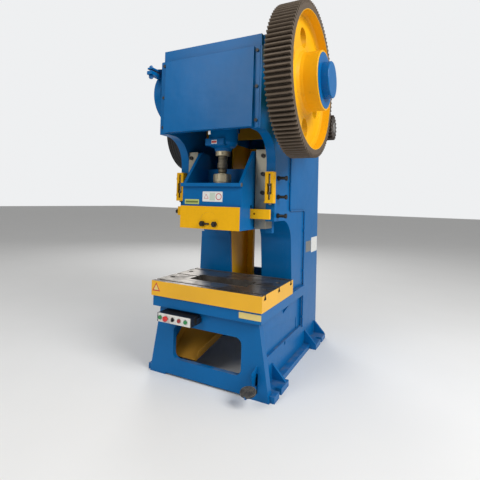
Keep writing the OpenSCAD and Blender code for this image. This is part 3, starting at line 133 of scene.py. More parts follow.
class Wire:
    """One output of a node. Operators on it add Math nodes to its tree."""

    def __init__(self, owner, socket):
        self.owner = owner
        self.socket = socket

    def _sum(self, operation, *values):
        return self.owner.node("ShaderNodeMath", {"operation": operation}, dict(enumerate(values)))

    def __add__(self, other):
        return self._sum("ADD", self, other)

    def __sub__(self, other):
        return self._sum("SUBTRACT", self, other)

    def __rsub__(self, other):
        return self._sum("SUBTRACT", other, self)

    def __mul__(self, other):
        return self._sum("MULTIPLY", self, other)

    __radd__ = __add__
    __rmul__ = __mul__

    def __pow__(self, other):
        return self._sum("POWER", self, other)

    def __gt__(self, other):
        return self._sum("GREATER_THAN", self, other)

    def __lt__(self, other):
        return self._sum("LESS_THAN", self, other)

    def __abs__(self):
        return self._sum("ABSOLUTE", self)

    def sine(self):
        return self._sum("SINE", self)

    def larger(self, other):
        return self._sum("MAXIMUM", self, other)

    def between(self, low, high):
        """0 below low, 1 above high, and a smooth step from one to the other."""
        settings = {"interpolation_type": "SMOOTHSTEP"}
        return self.owner.node("ShaderNodeMapRange", settings, {0: self, 1: low, 2: high})


print("what a wire can do beside sums:", [name for name in vars(Wire) if name[0] != "_"])

# %% [markdown]
# ## One way to add a node
# Every node, in a material or in the world, is added by one method. It takes the node's type, then its
# settings, which go first because some of them change the node's sockets, and then the values or links
# of those sockets.

# %% A tree of nodes


class Nodes:
    """A node tree, and the one method that adds to it."""

    def __init__(self, tree):
        self.tree = tree
        self.tree.nodes.clear()

    def node(self, kind, settings=None, sockets=None, out=0):
        """Adds a node and returns one of its outputs, if it has any."""
        made = self.tree.nodes.new(kind)
        for key, value in (settings or {}).items():
            setattr(made, key, value)
        for key, value in (sockets or {}).items():
            self.plug(made, key, value)
        return Wire(self, made.outputs[out]) if made.outputs else None

    def plug(self, node, key, value):
        """Links a wire to a socket, or sets the socket to a plain value."""
        if isinstance(value, Wire):
            self.tree.links.new(value.socket, node.inputs[key])
        else:
            node.inputs[key].default_value = value


print("tree helper is ready")

# %% [markdown]
# ## A material
# A material starts as a Principled shader and the object's own coordinates. The solids all sit at the
# origin, so those coordinates are places on the press, in metres, and a noise of 0.02 has blotches of 20
# mm. The other methods are what every finish needs: noise, mixing, sharp edges, deep corners and a last
# step that plugs the results in.

# %% A material that is built by sums


class Look(Nodes):
    """One material: its Principled shader, its coordinates, and the usual masks."""

    def __init__(self, name, **fixed):
        self.material = bpy.data.materials.new(name)
        self.material.use_nodes = True
        super().__init__(self.material.node_tree)
        constants = {socket.replace("_", " "): value for socket, value in fixed.items()}
        principled = self.node("ShaderNodeBsdfPrincipled", None, constants)
        self.node("ShaderNodeOutputMaterial", None, {"Surface": principled})
        self.shader = principled.socket.node
        self.at = self.node("ShaderNodeTexCoord", out="Object")
        self.x, self.y, self.z = self.parts(self.at)

    def parts(self, vector):
        """The x, y and z of a vector."""
        split = self.node("ShaderNodeSeparateXYZ", None, {0: vector}).socket.node
        return tuple(Wire(self, part) for part in split.outputs)

    def noise(self, size, detail=3.0, rough=0.55, stretch=(1, 1, 1)):
        """Cloudy noise from 0 to 1, with blotches of about that size in metres."""
        scaled = self.node("ShaderNodeVectorMath", {"operation": "MULTIPLY"}, {0: self.at, 1: stretch})
        sockets = {"Vector": scaled, "Scale": 1 / size, "Detail": detail, "Roughness": rough}
        return self.node("ShaderNodeTexNoise", None, sockets)

    def mix(self, share, first, second):
        """A colour between two colours."""
        return self.node("ShaderNodeMix", {"data_type": "RGBA"}, {0: share, 6: first, 7: second}, out=2)

    def shade(self, colour, value):
        """A colour made darker or lighter by a number."""
        colour = colour if isinstance(colour, Wire) else colour[:3]
        return self.node("ShaderNodeVectorMath", {"operation": "SCALE"}, {0: colour, 3: value})

    def normal(self):
        """The x, y and z parts of the surface's direction."""
        return self.parts(self.node("ShaderNodeNewGeometry", out="Normal"))

    def edges(self, radius):
        """1 on sharp edges and 0 on flats: how far a rounded normal turns away from the flat one."""
        round_normal = self.node("ShaderNodeBevel", {"samples": 4}, {"Radius": radius})
        flat_normal = self.node("ShaderNodeNewGeometry", out="Normal")
        agree = self.node("ShaderNodeVectorMath", {"operation": "DOT_PRODUCT"},
                          {0: round_normal, 1: flat_normal}, out="Value")
        return (1 - agree).between(0.02, 0.25)

    def corners(self, reach):
        """1 deep in corners and 0 in the open: ambient occlusion, for painted shade in corners."""
        open_air = self.node("ShaderNodeAmbientOcclusion", {"samples": 6}, {"Distance": reach}, out="AO")
        return (1 - open_air).between(0.25, 0.85)

    def feed(self, name, value):
        """Plugs a wire, or a plain value, into the shader."""
        self.plug(self.shader, name, value)

    def finish(self, colour, roughness, metallic=0.0, height=None, depth=0.0, radius=1.5 * MM):
        """Plugs in what changes over the surface. Sharp edges are shaded as if rounded by radius."""
        self.feed("Base Color", colour)
        self.feed("Roughness", roughness)
        self.feed("Metallic", metallic)
        soft = self.node("ShaderNodeBevel", {"samples": 4}, {"Radius": radius})
        if height is not None:
            sockets = {"Strength": 1.0, "Distance": depth, "Height": height, "Normal": soft}
            soft = self.node("ShaderNodeBump", None, sockets)
        self.feed("Normal", soft)
        return self.material


print("material helper is ready")

# %% [markdown]
# ## Colours
# A picture holds colours of 0 to 255 on a scale that follows the eye. The shader counts light instead,
# so each colour is turned once, by the standard curve, and the numbers stay those of a picture.

# %% Colours, as the eye reads them


def linear(red, green, blue):
    """Turns a colour of 0 to 255, as a picture holds it, into the shader's own scale."""
    def one(v):
        v = v / 255
        return v / 12.92 if v <= 0.04045 else ((v + 0.055) / 1.055) ** 2.4
    return one(red), one(green), one(blue)


def opaque(red, green, blue):
    """The same colour with the fourth number that a Mix node asks for."""
    return (*linear(red, green, blue), 1)


BLUE = opaque(0, 98, 160)
YELLOW = opaque(234, 174, 16)
BARE_STEEL = opaque(150, 148, 144)
# The dark brown on the next line marks smudges, oil and dirt, and is also painted shade in corners.
GRIME_AND_SHADE = opaque(38, 32, 26)
DUST = opaque(150, 142, 128)
print("blue in the shader's scale:", [round(v, 3) for v in BLUE[:3]])

# %% [markdown]
# ## Enamel
# The frame is sprayed with thick gloss enamel. Close up it has orange peel, long soft waves where the
# plate isn't flat, dirt with painted shade in its corners, dust on its ledges and bare metal on knocked
# edges. One function makes it in any colour, and a second colour and bare metal can each have their
# own region.

# %% Enamel in one or two colours


def enamel(name, colour, second=None, second_where=None, bare_where=None, wave=1.0, chips=0.5, dust=0.35):
    """Gloss paint. second_where and bare_where take the look and return a mask from 0 to 1."""
    look = Look(name, Coat_Weight=0.05, Coat_Roughness=0.12, Specular_IOR_Level=0.15)
    paint = colour
    if second_where:
        paint = look.mix(second_where(look), paint, second)
    # Large and small patches of tone, then runs that hang down
    tone = look.noise(0.35, 4) * 0.22 + look.noise(0.02, 3) * 0.10
    paint = look.shade(paint, 0.84 + tone)
    runs = look.noise(0.05, 5, 0.6, (1, 1, 0.12))
    paint = look.shade(paint, 0.94 + runs * 0.10)
    # Dust lies where the surface looks up, and dirt with painted shade darkens the corners
    upward = look.normal()[2].between(0.75, 0.98)
    dusty = upward * look.noise(0.12, 5, 0.65).between(0.35, 0.75) * dust
    paint = look.mix(dusty, paint, DUST)
    corner_shade_and_grime = look.corners(60 * MM) * look.noise(0.03, 4).between(0.25, 0.7)
    paint = look.mix(corner_shade_and_grime * 0.55, paint, GRIME_AND_SHADE)
    # Chips on edges and long scratches show the steel
    knocked = look.edges(2.2 * MM) * (look.noise(0.018, 6, 0.7) > 1.02 - 0.42 * chips)
    fine_line = look.noise(0.004, 2, 0.5, (0.18, 0.18, 2.2)).between(0.74, 0.78)
    scratch = fine_line * look.noise(0.15).between(0.55, 0.7)
    bare = knocked.larger(scratch * 0.6 * chips)
    if bare_where:
        bare = bare.larger(bare_where(look))
    metal_tone = look.noise(0.006, 4, 0.6, (0.3, 1, 1)) * 0.5 + 0.72
    metal = look.shade(BARE_STEEL, metal_tone)
    gloss = 0.26 + look.noise(0.08, 4) * 0.14 + dusty * 0.5 + corner_shade_and_grime * 0.3 + bare * 0.12
    peel = look.noise(3.5 * MM, 2) * 0.10 + look.noise(0.16, 2) * 2.2 * wave - bare * 0.35
    return look.finish(look.mix(bare, paint, metal), gloss, bare, peel, 0.55 * MM)


blue_enamel = enamel("blue_enamel", BLUE)
yellow_enamel = enamel("yellow_enamel", YELLOW, chips=0.7)
cover_enamel = enamel("blue_sheet_enamel", BLUE, wave=3.2, chips=0.3)
# The web behind the crank is a darker, browner copy of the yellow enamel: painted shade under the head
shaded_web_enamel = enamel("shaded_yellow_web_enamel", opaque(172, 126, 34), chips=0.3, dust=0.4)
chute_enamel = enamel("scuffed_chute_enamel", opaque(158, 114, 38), chips=0.9, dust=0.6)
print("nodes in the blue enamel:", len(blue_enamel.node_tree.nodes))

# %% [markdown]
# ## The slide's two colours
# The slide is blue, but its lower front face is yellow, its underside is planed metal and its V ridges
# are ground and oiled. All of these are places on one solid, so masks of position and direction choose
# between them.

# %% Enamel for the slide
FACE_SETBACK = 24 * MM
BLOCK_H = 163 * MM
RIDGE_X = 249 * MM


def slide_yellow(look):
    forward = look.normal()[1] < -0.7
    return forward * (look.z < slide_low.z + BLOCK_H + 1 * MM) * (look.y < slide_low.y + FACE_SETBACK)


def slide_bare(look):
    underside = (look.normal()[2] < -0.9) * (look.z < slide_low.z + 2 * MM)
    return underside.larger(abs(look.x) > RIDGE_X)


slide_enamel = enamel("slide_enamel", BLUE, YELLOW, slide_yellow, slide_bare)
print("yellow up to", round(slide_low.z + BLOCK_H, 3))

# %% [markdown]
# ## The treadle's two colours
# The treadle is a blue arm with a round black pad at its toe. The pad is a tilted disc, so its mask is a
# distance from its middle, seen from above. The arm stays blue where it runs into the pad.

# %% Enamel for the treadle
PAD_R = 52 * MM
ARM_HALF_W = 5.3 * MM
treadle_low = places["treadle"][0]
pad_x = middle("treadle").x


def treadle_pad(look):
    dx = look.x - pad_x
    dy = look.y - (treadle_low.y + PAD_R)
    beside_arm = (abs(dx) > ARM_HALF_W).larger(look.normal()[2] > 0.8)
    return ((dx * dx + dy * dy) ** 0.5 < PAD_R + 2 * MM) * beside_arm


treadle_enamel = enamel("treadle_enamel", BLUE, opaque(58, 58, 58), treadle_pad, chips=0.6, dust=0.7)
print("pad's middle at x", round(pad_x, 3))

# %% [markdown]
# ## The bolster
# A bolster's top is milled: bands as wide as the cutter run along it, with fine arcs in each band, and
# oil and dies leave dark stains. Its outer sides are painted yellow, its slots are bare, and the walls
# of its slots and its opening are darkened by painted shade.

# %% Milled and painted bolster
CUTTER_W = 63 * MM


def bolster_sides(look):
    """The bolster's outer sides, which are painted. Its top, slots and opening are not."""
    on_x = abs(look.x) > bolster_high.x - 0.5 * MM
    on_y = abs(look.y - middle("bolster").y) > (bolster_high.y - bolster_low.y) / 2 - 0.5 * MM
    return on_x.larger(on_y) * (look.normal()[2] < 0.5)


def bolster_look():
    look = Look("milled_bolster", Coat_Weight=0.08)
    # Milling: wide bands, fine arcs, and marks of dies that were dragged across
    band = (look.y * (2 * math.pi / CUTTER_W)).sine()
    arcs = look.noise(1.2 * MM, 3, 0.6, (1.0, 0.10, 1))
    drag = look.noise(12 * MM, 5, 0.65, (0.10, 1, 1))
    stain = look.noise(0.16, 6, 0.62).between(0.42, 0.72)
    rub = look.noise(0.07, 5, 0.7, (0.25, 1, 1)).between(0.45, 0.8)
    bright = 0.40 + band * 0.03 + drag * 0.35 + rub * 0.25 - stain * 0.34
    steel = look.shade(opaque(196, 188, 178), bright)
    steel = look.mix(stain * 0.45, steel, opaque(60, 50, 40))
    # Inside the slots and the opening it is darker: painted shade on their walls
    sides = bolster_sides(look)
    shaded_slot_walls = (look.normal()[2] < 0.5) * (1 - sides)
    steel = look.mix(shaded_slot_walls * 0.65, steel, opaque(46, 40, 34))
    # Paint on the outer sides, with scuffed edges and smudges
    paint = look.shade(YELLOW, 0.86 + look.noise(0.3, 4) * 0.24)
    scuffed = look.edges(2.5 * MM) * (look.noise(0.02, 5, 0.7) > 0.58)
    smudge = look.noise(0.05, 6, 0.7, (0.5, 1, 1)).between(0.62, 0.85)
    paint = look.mix(smudge * 0.28, paint, GRIME_AND_SHADE)
    painted = sides * (1 - scuffed)
    gloss = painted * 0.34 + (1 - painted) * (0.30 + stain * 0.22 + arcs * 0.10)
    metal = (1 - painted) * (0.95 - shaded_slot_walls * 0.5)
    height = arcs * 0.25 + band * 0.20 + drag * 0.5 + look.noise(4 * MM) * 0.25
    return look.finish(look.mix(painted, steel, paint), gloss, metal, height, 0.12 * MM)


milled_bolster = bolster_look()
print("nodes in the bolster's look:", len(milled_bolster.node_tree.nodes))

# %% [markdown]
# ## Bare metals
# Turned steel has fine rings, and ground cast iron is matt with long scratches. Each is a tone, a
# roughness and a little height from stretched noise, with oil stains and painted shade in corners. A
# screw also has the rings of its thread, a sine wave along its axis, with painted highlight on the
# crests and painted shade in the roots: on parts this thin that reads as a thread, and it costs no faces.

# %% Machined metal


def bare_metal(name, colour, tone=0.25, roughness=0.3, grain=(1, 1, 1), oil=0.3, metallic=1.0, pitch=None):
    """Machined metal. grain stretches its scratches, and pitch gives an upright screw its ribs."""
    look = Look(name)
    scratches = look.noise(1.5 * MM, 3, 0.6, grain)
    blotch = look.noise(0.035, 5, 0.6)
    # Oil stains in patches, plus painted shade in corners from ambient occlusion
    oil_and_corner_shade = look.noise(0.08, 4).between(0.45, 0.75) * oil + look.corners(25 * MM) * 0.5
    metal = look.shade(colour, 1 - tone / 2 + scratches * tone * 0.6 + blotch * tone * 0.5)
    metal = look.mix(oil_and_corner_shade * 0.7, metal, GRIME_AND_SHADE)
    gloss = roughness + scratches * 0.12 - oil_and_corner_shade * 0.10
    height = scratches * 0.4 + blotch * 0.6
    depth = 0.08 * MM
    if pitch:
        ribs = (look.z * (2 * math.pi / pitch)).sine()
        height = height * 0.1 + ribs
        depth = pitch * 0.18
        # The ribs are painted into the colour too: painted highlight on each crest, painted shade in each
        # root
        metal = look.shade(metal, 0.72 + ribs * 0.28)
    return look.finish(metal, gloss, metallic, height, depth, 1 * MM)


ALONG_X = (0.2, 1, 1)
UPRIGHT = (1, 1, 0.15)
turned_steel = bare_metal("turned_steel", opaque(190, 188, 184), grain=ALONG_X)
black_steel = bare_metal("blackened_steel", opaque(62, 60, 58), 0.4, 0.42, oil=0.4, metallic=0.85)
black_iron = bare_metal("oiled_black_iron", opaque(52, 50, 50), 0.5, 0.38, (0.15, 1, 1), 0.6, 0.8)
ground_iron = bare_metal("ground_gib_iron", opaque(150, 146, 132), 0.3, 0.36, (1, 1, 0.06), 0.35, 0.75)
bronze = bare_metal("bearing_bronze", opaque(176, 128, 70), 0.3, 0.3, ALONG_X)
nut_steel = bare_metal("worn_nut_steel", opaque(202, 190, 160), 0.35, 0.36, UPRIGHT, 0.45, 0.75)
ribbed_steel = bare_metal("ribbed_screw_steel", opaque(196, 184, 158), 0.3, 0.32, (1, 1, 0.2), 0.5, 0.85,
                          pitch=11 * MM)
screw_thread = bare_metal("threaded_steel", opaque(150, 146, 138), 0.3, 0.35, oil=0.6, pitch=3 * MM)
print("nodes in turned and in ribbed steel:",
      [len(look.node_tree.nodes) for look in (turned_steel, ribbed_steel)])

# %% [markdown]
# ## The open gear
# The gear's web is painted yellow up to the rim's inner wall. The rim's side faces and the teeth are
# bare cast iron under old brown grease, thickest between the teeth, where painted shade darkens them
# as well, and edges that rub against the pinion are brighter. Painted shade also darkens the paint in
# its corners. The colours change at a radius, so the mask is the distance from the crank's axis.

# %% Gear, pinion and grease
RIM_IN_R = 449.5 * MM
TOOTH_ROOT_R = 487.5 * MM
TOOTH_TIP_R = 510 * MM


def gear_look():
    look = Look("gear_paint_and_grease", Specular_IOR_Level=0.25)
    dy = look.y - crank_axis.y
    dz = look.z - crank_axis.z
    radius = (dy * dy + dz * dz) ** 0.5
    greasy = (radius + look.noise(0.02, 4) * 5 * MM) > RIM_IN_R + 6 * MM
    # Paint, soiled in patches and darkened by painted shade in its corners, and chipped on its edges
    paint = look.shade(YELLOW, 0.84 + look.noise(0.2, 4) * 0.26)
    soil_and_corner_shade = look.noise(0.06, 6, 0.7).between(0.55, 0.85) * 0.35 + look.corners(60 * MM) * 0.4
    paint = look.mix(soil_and_corner_shade, paint, opaque(70, 48, 22))
    knocked = look.edges(2 * MM) * (look.noise(0.02, 5, 0.7) > 0.62) * (1 - greasy)
    paint = look.mix(knocked, paint, BARE_STEEL)
    # Iron, darkened between the teeth by grease and by painted shade, and rubbed on its edges
    sideways = abs(look.normal()[0]).between(0.8, 0.95)
    gap_grease_and_shade = radius.between(TOOTH_TIP_R, TOOTH_ROOT_R) * (1 - sideways)
    iron = look.shade(opaque(112, 98, 84), 0.5 + look.noise(0.01, 4, 0.6, (0.15, 1, 1)) * 0.7)
    iron = look.mix(gap_grease_and_shade * 0.65, iron, opaque(26, 21, 18))
    rubbed = look.edges(2.5 * MM) * look.noise(0.03, 5, 0.7).between(0.4, 0.7) * greasy
    iron = look.mix(rubbed * 0.7, iron, opaque(178, 166, 148))
    gloss = 0.34 + greasy * 0.12 + look.noise(0.03, 3) * 0.15
    metal = greasy * 0.35 + knocked * 0.4
    height = look.noise(5 * MM, 3) * 0.6 + look.noise(0.09, 2) * 1.5 - knocked * 0.5
    return look.finish(look.mix(greasy, paint, iron), gloss, metal, height, 0.4 * MM, 2 * MM)


gear_paint = gear_look()
pinion_iron = bare_metal("greased_pinion_iron", opaque(76, 66, 58), 0.6, 0.34, ALONG_X, 0.8, 0.6)
print("gear's axis and tip radius:", [round(v, 3) for v in crank_axis], TOOTH_TIP_R)

# %% [markdown]
# ## Rubber and plastic
# Belts are matt rubber, and buttons are glossy plastic, dulled where a thumb rubs them. Both are
# moulded, so one function makes them: a grain finer than a millimetre, dull patches, and dust on top.

# %% Moulded finishes


def moulded(name, colour, roughness=0.4, speck=0.1, coat=0.0):
    """Plastic or rubber with a fine grain, and a duller patch where it is handled."""
    look = Look(name, Coat_Weight=coat)
    tone = 1 - speck / 2 + look.noise(6 * MM, 3) * speck
    dull = look.noise(0.02, 4).between(0.4, 0.7)
    dust = look.normal()[2].between(0.6, 0.95) * look.noise(0.03, 4).between(0.4, 0.7) * 0.25
    base = look.mix(dust, look.shade(colour, tone), DUST)
    return look.finish(base, roughness + dull * 0.12, 0.0, look.noise(0.8 * MM, 2), 0.05 * MM, 0.6 * MM)


belt_rubber = moulded("belt_rubber", opaque(34, 33, 33), 0.62, 0.3)
green_cap = moulded("green_button_plastic", opaque(24, 130, 66), 0.28, 0.08, 0.3)
red_cap = moulded("red_mushroom_plastic", opaque(204, 34, 34), 0.28, 0.08, 0.3)
dark_red_cap = moulded("dark_red_button_plastic", opaque(150, 26, 30), 0.28, 0.08, 0.3)
black_cap = moulded("black_knob_plastic", opaque(28, 28, 30), 0.34, 0.1)
print("nodes in belt rubber:", len(belt_rubber.node_tree.nodes))

# %% [markdown]
# ## The control box
# The box is a black case with a white front that has a thin black border. It is one solid, so the white
# is only where a face looks at the operator and lies on the box's front plane.

# %% Panel enamel
PANEL_HALF_W = 146 * MM
BORDER_FROM = 138 * MM


def panel_look():
    look = Look("control_box_enamel", Coat_Weight=0.1)
    front = (look.normal()[1] < -0.8) * (look.y < box_low.y + 1 * MM)
    from_middle = abs(look.x - (box_low.x + PANEL_HALF_W))
    inner = front * (1 - from_middle.between(BORDER_FROM, BORDER_FROM + 1 * MM))
    tone = 0.9 + look.noise(0.05, 4) * 0.14
    white = look.shade(opaque(226, 226, 220), tone)
    black = look.shade(opaque(30, 30, 32), tone)
    smudge = look.noise(0.03, 5).between(0.55, 0.85) * 0.2
    colour = look.mix(inner, black, look.mix(smudge, white, GRIME_AND_SHADE))
    return look.finish(colour, 0.36 + smudge * 0.4, 0.0, look.noise(2 * MM, 2), 0.06 * MM, 1 * MM)


panel_enamel = panel_look()
print("panel's front plane at y", round(box_low.y, 3))

# %% [markdown]
# ## Dressing the solids
# A list says which solids wear which finish, and a solid that isn't in it is painted blue like the
# frame. Round surfaces come in as many flat facets, so every mesh is shaded smooth where its faces meet
# at a small angle, and keeps its sharp edges elsewhere.

# %% Give each solid its finish
SMOOTH_BELOW = math.radians(32)
wearers = (
    (yellow_enamel, "column_channels left_knockout_bracket right_knockout_bracket"),
    (yellow_enamel, "shank_clamp knockout_bar"),
    (black_steel, "clamp_nuts bolster_screws gib_screws gib_adjusters cover_screws rod_bolts"),
    (turned_steel, "crankshaft countershaft"),
    (black_iron, "flywheel motor_pulley"),
    (ground_iron, "left_gib right_gib"),
    (nut_steel, "lock_nut ball_seat_nut"),
    (bronze, "crank_bushes shaft_bushes gear_bush"),
    (green_cap, "start_button motor_button"),
    (red_cap, "stop_mushroom"),
    (dark_red_cap, "inch_button"),
    (black_cap, "mode_selector"),
    (panel_enamel, "control_box"),
    (treadle_enamel, "treadle"),
    (slide_enamel, "slide_block"),
    (milled_bolster, "bolster"),
    (cover_enamel, "front_cover"),
    (shaded_web_enamel, "crank_box_web"),
    (chute_enamel, "scrap_chute"),
    (gear_paint, "main_gear"),
    (pinion_iron, "pinion"),
    (ribbed_steel, "ball_screw"),
    (screw_thread, "knockout_stop_screws"),
    (belt_rubber, "v_belts"),
)
finishes = {name: material for material, names in wearers for name in names.split()}


def wear(obj, material):
    """Puts one material on a mesh and shades it smooth where its facets nearly agree."""
    obj.data.materials.clear()
    obj.data.materials.append(material)
    obj.data.shade_smooth()
    obj.data.set_sharp_from_angle(angle=SMOOTH_BELOW)


for name, solid in nodes.items():
    wear(solid, finishes.get(name, blue_enamel))
print("dressed solids:", len(nodes), "of which not blue:", len(finishes))

# %% [markdown]
# ## Making small pieces
# Everything that is added is swept along a path, turned about an axis or pressed out of an outline. All
# of these are rings of points joined by quads, so one function joins the rings, and the others only say
# where the points are.

# %% Join rings of points


def ring_bridge(bm, rings, closed):
    """Joins rings of points with quads, and caps the ends unless the sweep closes on itself."""
    made = [[bm.verts.new(p) for p in ring] for ring in rings]
    count = len(made[0])
    pairs = list(zip(made, made[1:]))
    if closed:
        pairs.append((made[-1], made[0]))
    for first, second in pairs:
        for i in range(count):
            j = (i + 1) % count
            bm.faces.new((first[i], first[j], second[j], second[i]))
    if not closed:
        bm.faces.new(list(reversed(made[0])))
        bm.faces.new(made[-1])


def circle(radius, sides, start=0.0):
    """Points of a circle, or of a regular polygon, about [0, 0]."""
    angles = [start + 2 * math.pi * k / sides for k in range(sides)]
    return [(radius * math.cos(a), radius * math.sin(a)) for a in angles]


def in_mm(*pairs):
    """A profile or an outline that is given in millimetres."""
    return [(a * MM, b * MM) for a, b in pairs]


def turn_to(axis):
    """The rotation that takes the upright direction to an axis."""
    return Vector((0, 0, 1)).rotation_difference(Vector(axis)).to_matrix()


print("a circle of 6:", len(circle(1, 6)), "points")

# %% [markdown]
# ## Sweep, turn and press out
# A sweep carries its side direction from point to point, so that a tube doesn't twist. A turned form is
# a list of (radius, height) pairs. A closed one, such as a bezel, is a ring that is carried all the way
# round. A pressed form is a lifted outline, with a small chamfer round its face to catch the light.

# %% Three ways to make a form


def tube(bm, path, radius, sides=8):
    """A round bar along points. radius is a number, or a function of the point's place in the path."""
    path = [Vector(p) for p in path]
    last = len(path) - 1
    side = Vector((0, 0, 1))
    rings = []
    for i, point in enumerate(path):
        ahead = (path[min(i + 1, last)] - path[max(i - 1, 0)]).normalized()
        side = side - ahead * side.dot(ahead)
        if side.length < 1e-4:
            side = ahead.orthogonal()
        side.normalize()
        across = ahead.cross(side)
        r = radius(i) if callable(radius) else radius
        rings.append([point + side * u + across * v for u, v in circle(r, sides)])
    ring_bridge(bm, rings, False)


def turned(bm, centre, axis, profile, steps=32):
    """A profile of (radius, height) turned about an axis through centre."""
    aim = turn_to(axis)
    rings = []
    for radius, height in profile:
        rings.append([Vector(centre) + aim @ Vector((u, v, height)) for u, v in circle(radius, steps)])
    ring_bridge(bm, rings, False)


def turned_ring(bm, centre, axis, profile, steps):
    """A closed profile of (radius, height) carried round an axis, as a ring with a hole."""
    aim = turn_to(axis)
    rings = []
    for u, v in circle(1, steps):
        rings.append([Vector(centre) + aim @ Vector((r * u, r * v, h)) for r, h in profile])
    ring_bridge(bm, rings, True)


def pressed(bm, origin, axes, outline, thickness, edge=0.3 * MM):
    """A flat plate from an outline of (right, top) distances, with a small chamfer round its face."""
    right, top = (Vector(a) for a in axes)
    out = right.cross(top)
    core = sum((Vector(p) for p in outline), Vector((0, 0))) / len(outline)

    def level(shrink, height):
        points = []
        for p in outline:
            q = Vector(p) + (core - Vector(p)).normalized() * shrink
            points.append(Vector(origin) + right * q.x + top * q.y + out * height)
        return points

    ring_bridge(bm, [level(0, 0), level(0, thickness - edge), level(edge, thickness)], False)


print("forms: tube, turned, turned_ring, pressed")

# %% [markdown] ## A piece and its body A piece has to move with the body that carries it, and it wears
# one of the finishes made above.

# %% Make a piece


def piece(name, body, material, build):
    """Makes one object: build fills an empty mesh, and the piece then rides on a body."""
    bm = bmesh.new()
    build(bm)
    bmesh.ops.recalc_face_normals(bm, faces=bm.faces)
    mesh = bpy.data.meshes.new(name)
    bm.to_mesh(mesh)
    bm.free()
    obj = bpy.data.objects.new(name, mesh)
    bpy.context.scene.collection.objects.link(obj)
    wear(obj, material)
    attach(obj, body)
    return obj


def rounded(width, height, radius, steps=4):
    """The outline of a plate with round corners, about its centre."""
    points = []
    for quarter, (sx, sy) in enumerate(((1, 1), (-1, 1), (-1, -1), (1, -1))):
        for k in range(steps + 1):
            a = math.pi / 2 * (quarter + k / steps)
            x = sx * (width / 2 - radius) + radius * math.cos(a)
            y = sy * (height / 2 - radius) + radius * math.sin(a)
            points.append((x, y))
    return points


print("a rounded plate has", len(rounded(1, 1, 0.1)), "corners")

# %% [markdown]
# ## Plates
# A press carries plates on its slide, its bed and its side: thin sheets held by four rivets. Here they
# stay without words: a plain field and simple shapes give the same patches of colour.

# %% Finishes for plates


def plate_look(name, colour, metallic=0.0):
    look = Look(name, Coat_Weight=0.2)
    tone = 0.92 + look.noise(0.03, 4) * 0.12
    smudge = look.noise(0.02, 5, 0.7).between(0.6, 0.85) * 0.25
    base = look.mix(smudge, look.shade(colour, tone), GRIME_AND_SHADE)
    return look.finish(base, 0.35 + smudge, metallic, look.noise(6 * MM, 2), 0.08 * MM, 0.3 * MM)


white_plate = plate_look("white_plate", opaque(228, 228, 224))
pale_field = plate_look("pale_green_field", opaque(196, 208, 192))
red_ink = plate_look("red_plate_colour", opaque(196, 52, 44))
olive_ink = plate_look("olive_plate_colour", opaque(110, 120, 50))
straw_plate = plate_look("straw_plate", opaque(226, 202, 120))
lime_plate = plate_look("lime_plate", opaque(190, 200, 110))
grey_plate = plate_look("etched_aluminium_plate", opaque(150, 152, 150), 0.7)
print("nodes in a plate's look:", len(white_plate.node_tree.nodes))

# %% [markdown]
# ## Plate makers
# A plate is placed by its centre and by two directions: its right and its top. The third direction, out
# of the plate, is their cross product, so the same helpers serve the front and the side of the press.

# %% Plates, rivets and printed outlines
FRONT = ((1, 0, 0), (0, 0, 1))
RIGHT_SIDE = ((0, 1, 0), (0, 0, 1))
PLATE_T = 0.8 * MM
INK_T = 0.3 * MM
RIVET_INSET = 4 * MM
RIVET_FOOT = 0.7 * MM


def flat_plate(name, body, material, centre, axes, size, thickness=PLATE_T, corner=3 * MM):
    outline = rounded(*size, corner)
    piece(name, body, material, lambda bm: pressed(bm, centre, axes, outline, thickness))


def riveted_plate(name, body, material, centre, axes, size):
    """A plate, and four domed rivets near its corners as a second piece."""
    flat_plate(name, body, material, centre, axes, size)
    right, top = (Vector(a) for a in axes)
    out = right.cross(top)
    dome = in_mm((2.2, 0), (2.1, 0.6), (1.5, 1.1), (0.5, 1.4))
    reach_x = size[0] / 2 - RIVET_INSET
    reach_y = size[1] / 2 - RIVET_INSET

    def build(bm):
        for sx, sy in ((-1, -1), (-1, 1), (1, -1), (1, 1)):
            across = right * sx * reach_x + top * sy * reach_y
            turned(bm, centre + across + out * RIVET_FOOT, out, dome, 12)

    piece(name + "_rivets", body, turned_steel, build)


def outline_frame(name, body, material, centre, axes, corners, width, lift):
    """A closed band that follows a few corners: a triangle's or a ring's outline."""
    right, top = (Vector(a) for a in axes)
    out = right.cross(top)
    base = Vector(centre) + out * lift

    def build(bm):
        rings = []
        for x, y in corners:
            p = base + right * x + top * y
            inward = (base - p).normalized() * width
            rings.append([p, p + inward, p + inward + out * INK_T, p + out * INK_T])
        ring_bridge(bm, rings, True)

    piece(name, body, material, build)


print("plate helpers are ready")

# %% [markdown]
# ## Plates on the slide and the rod
# The slide's blue face holds a white plate with three plain signs, and a small strip in lime. The rod's
# flat holds a small plate with a red band. The signs lie on top of their plates: two surfaces in one
# plane would flicker.

# %% Slide's and rod's plates
slide_face_y = slide_low.y + FACE_SETBACK
slide_plate_at = Vector((12 * MM, slide_face_y, slide_low.z + 233 * MM))
on_plate = Vector((0, -PLATE_T, 0))
sign_shift = 52 * MM
riveted_plate("slide_plate", "slide", white_plate, slide_plate_at, FRONT, (166 * MM, 73 * MM))
flat_plate("slide_plate_field", "slide", pale_field, slide_plate_at + on_plate, FRONT,
           (46 * MM, 56 * MM), INK_T, 1 * MM)
triangle_sign_at = slide_plate_at + Vector((-sign_shift, 0, -4 * MM))
outline_frame("slide_plate_triangle", "slide", red_ink, triangle_sign_at, FRONT,
              circle(23 * MM, 3, math.pi / 2), 5 * MM, PLATE_T)
ring_sign_at = slide_plate_at + Vector((sign_shift, 0, 0))
outline_frame("slide_plate_ring", "slide", red_ink, ring_sign_at, FRONT,
              circle(24 * MM, 28), 5 * MM, PLATE_T)

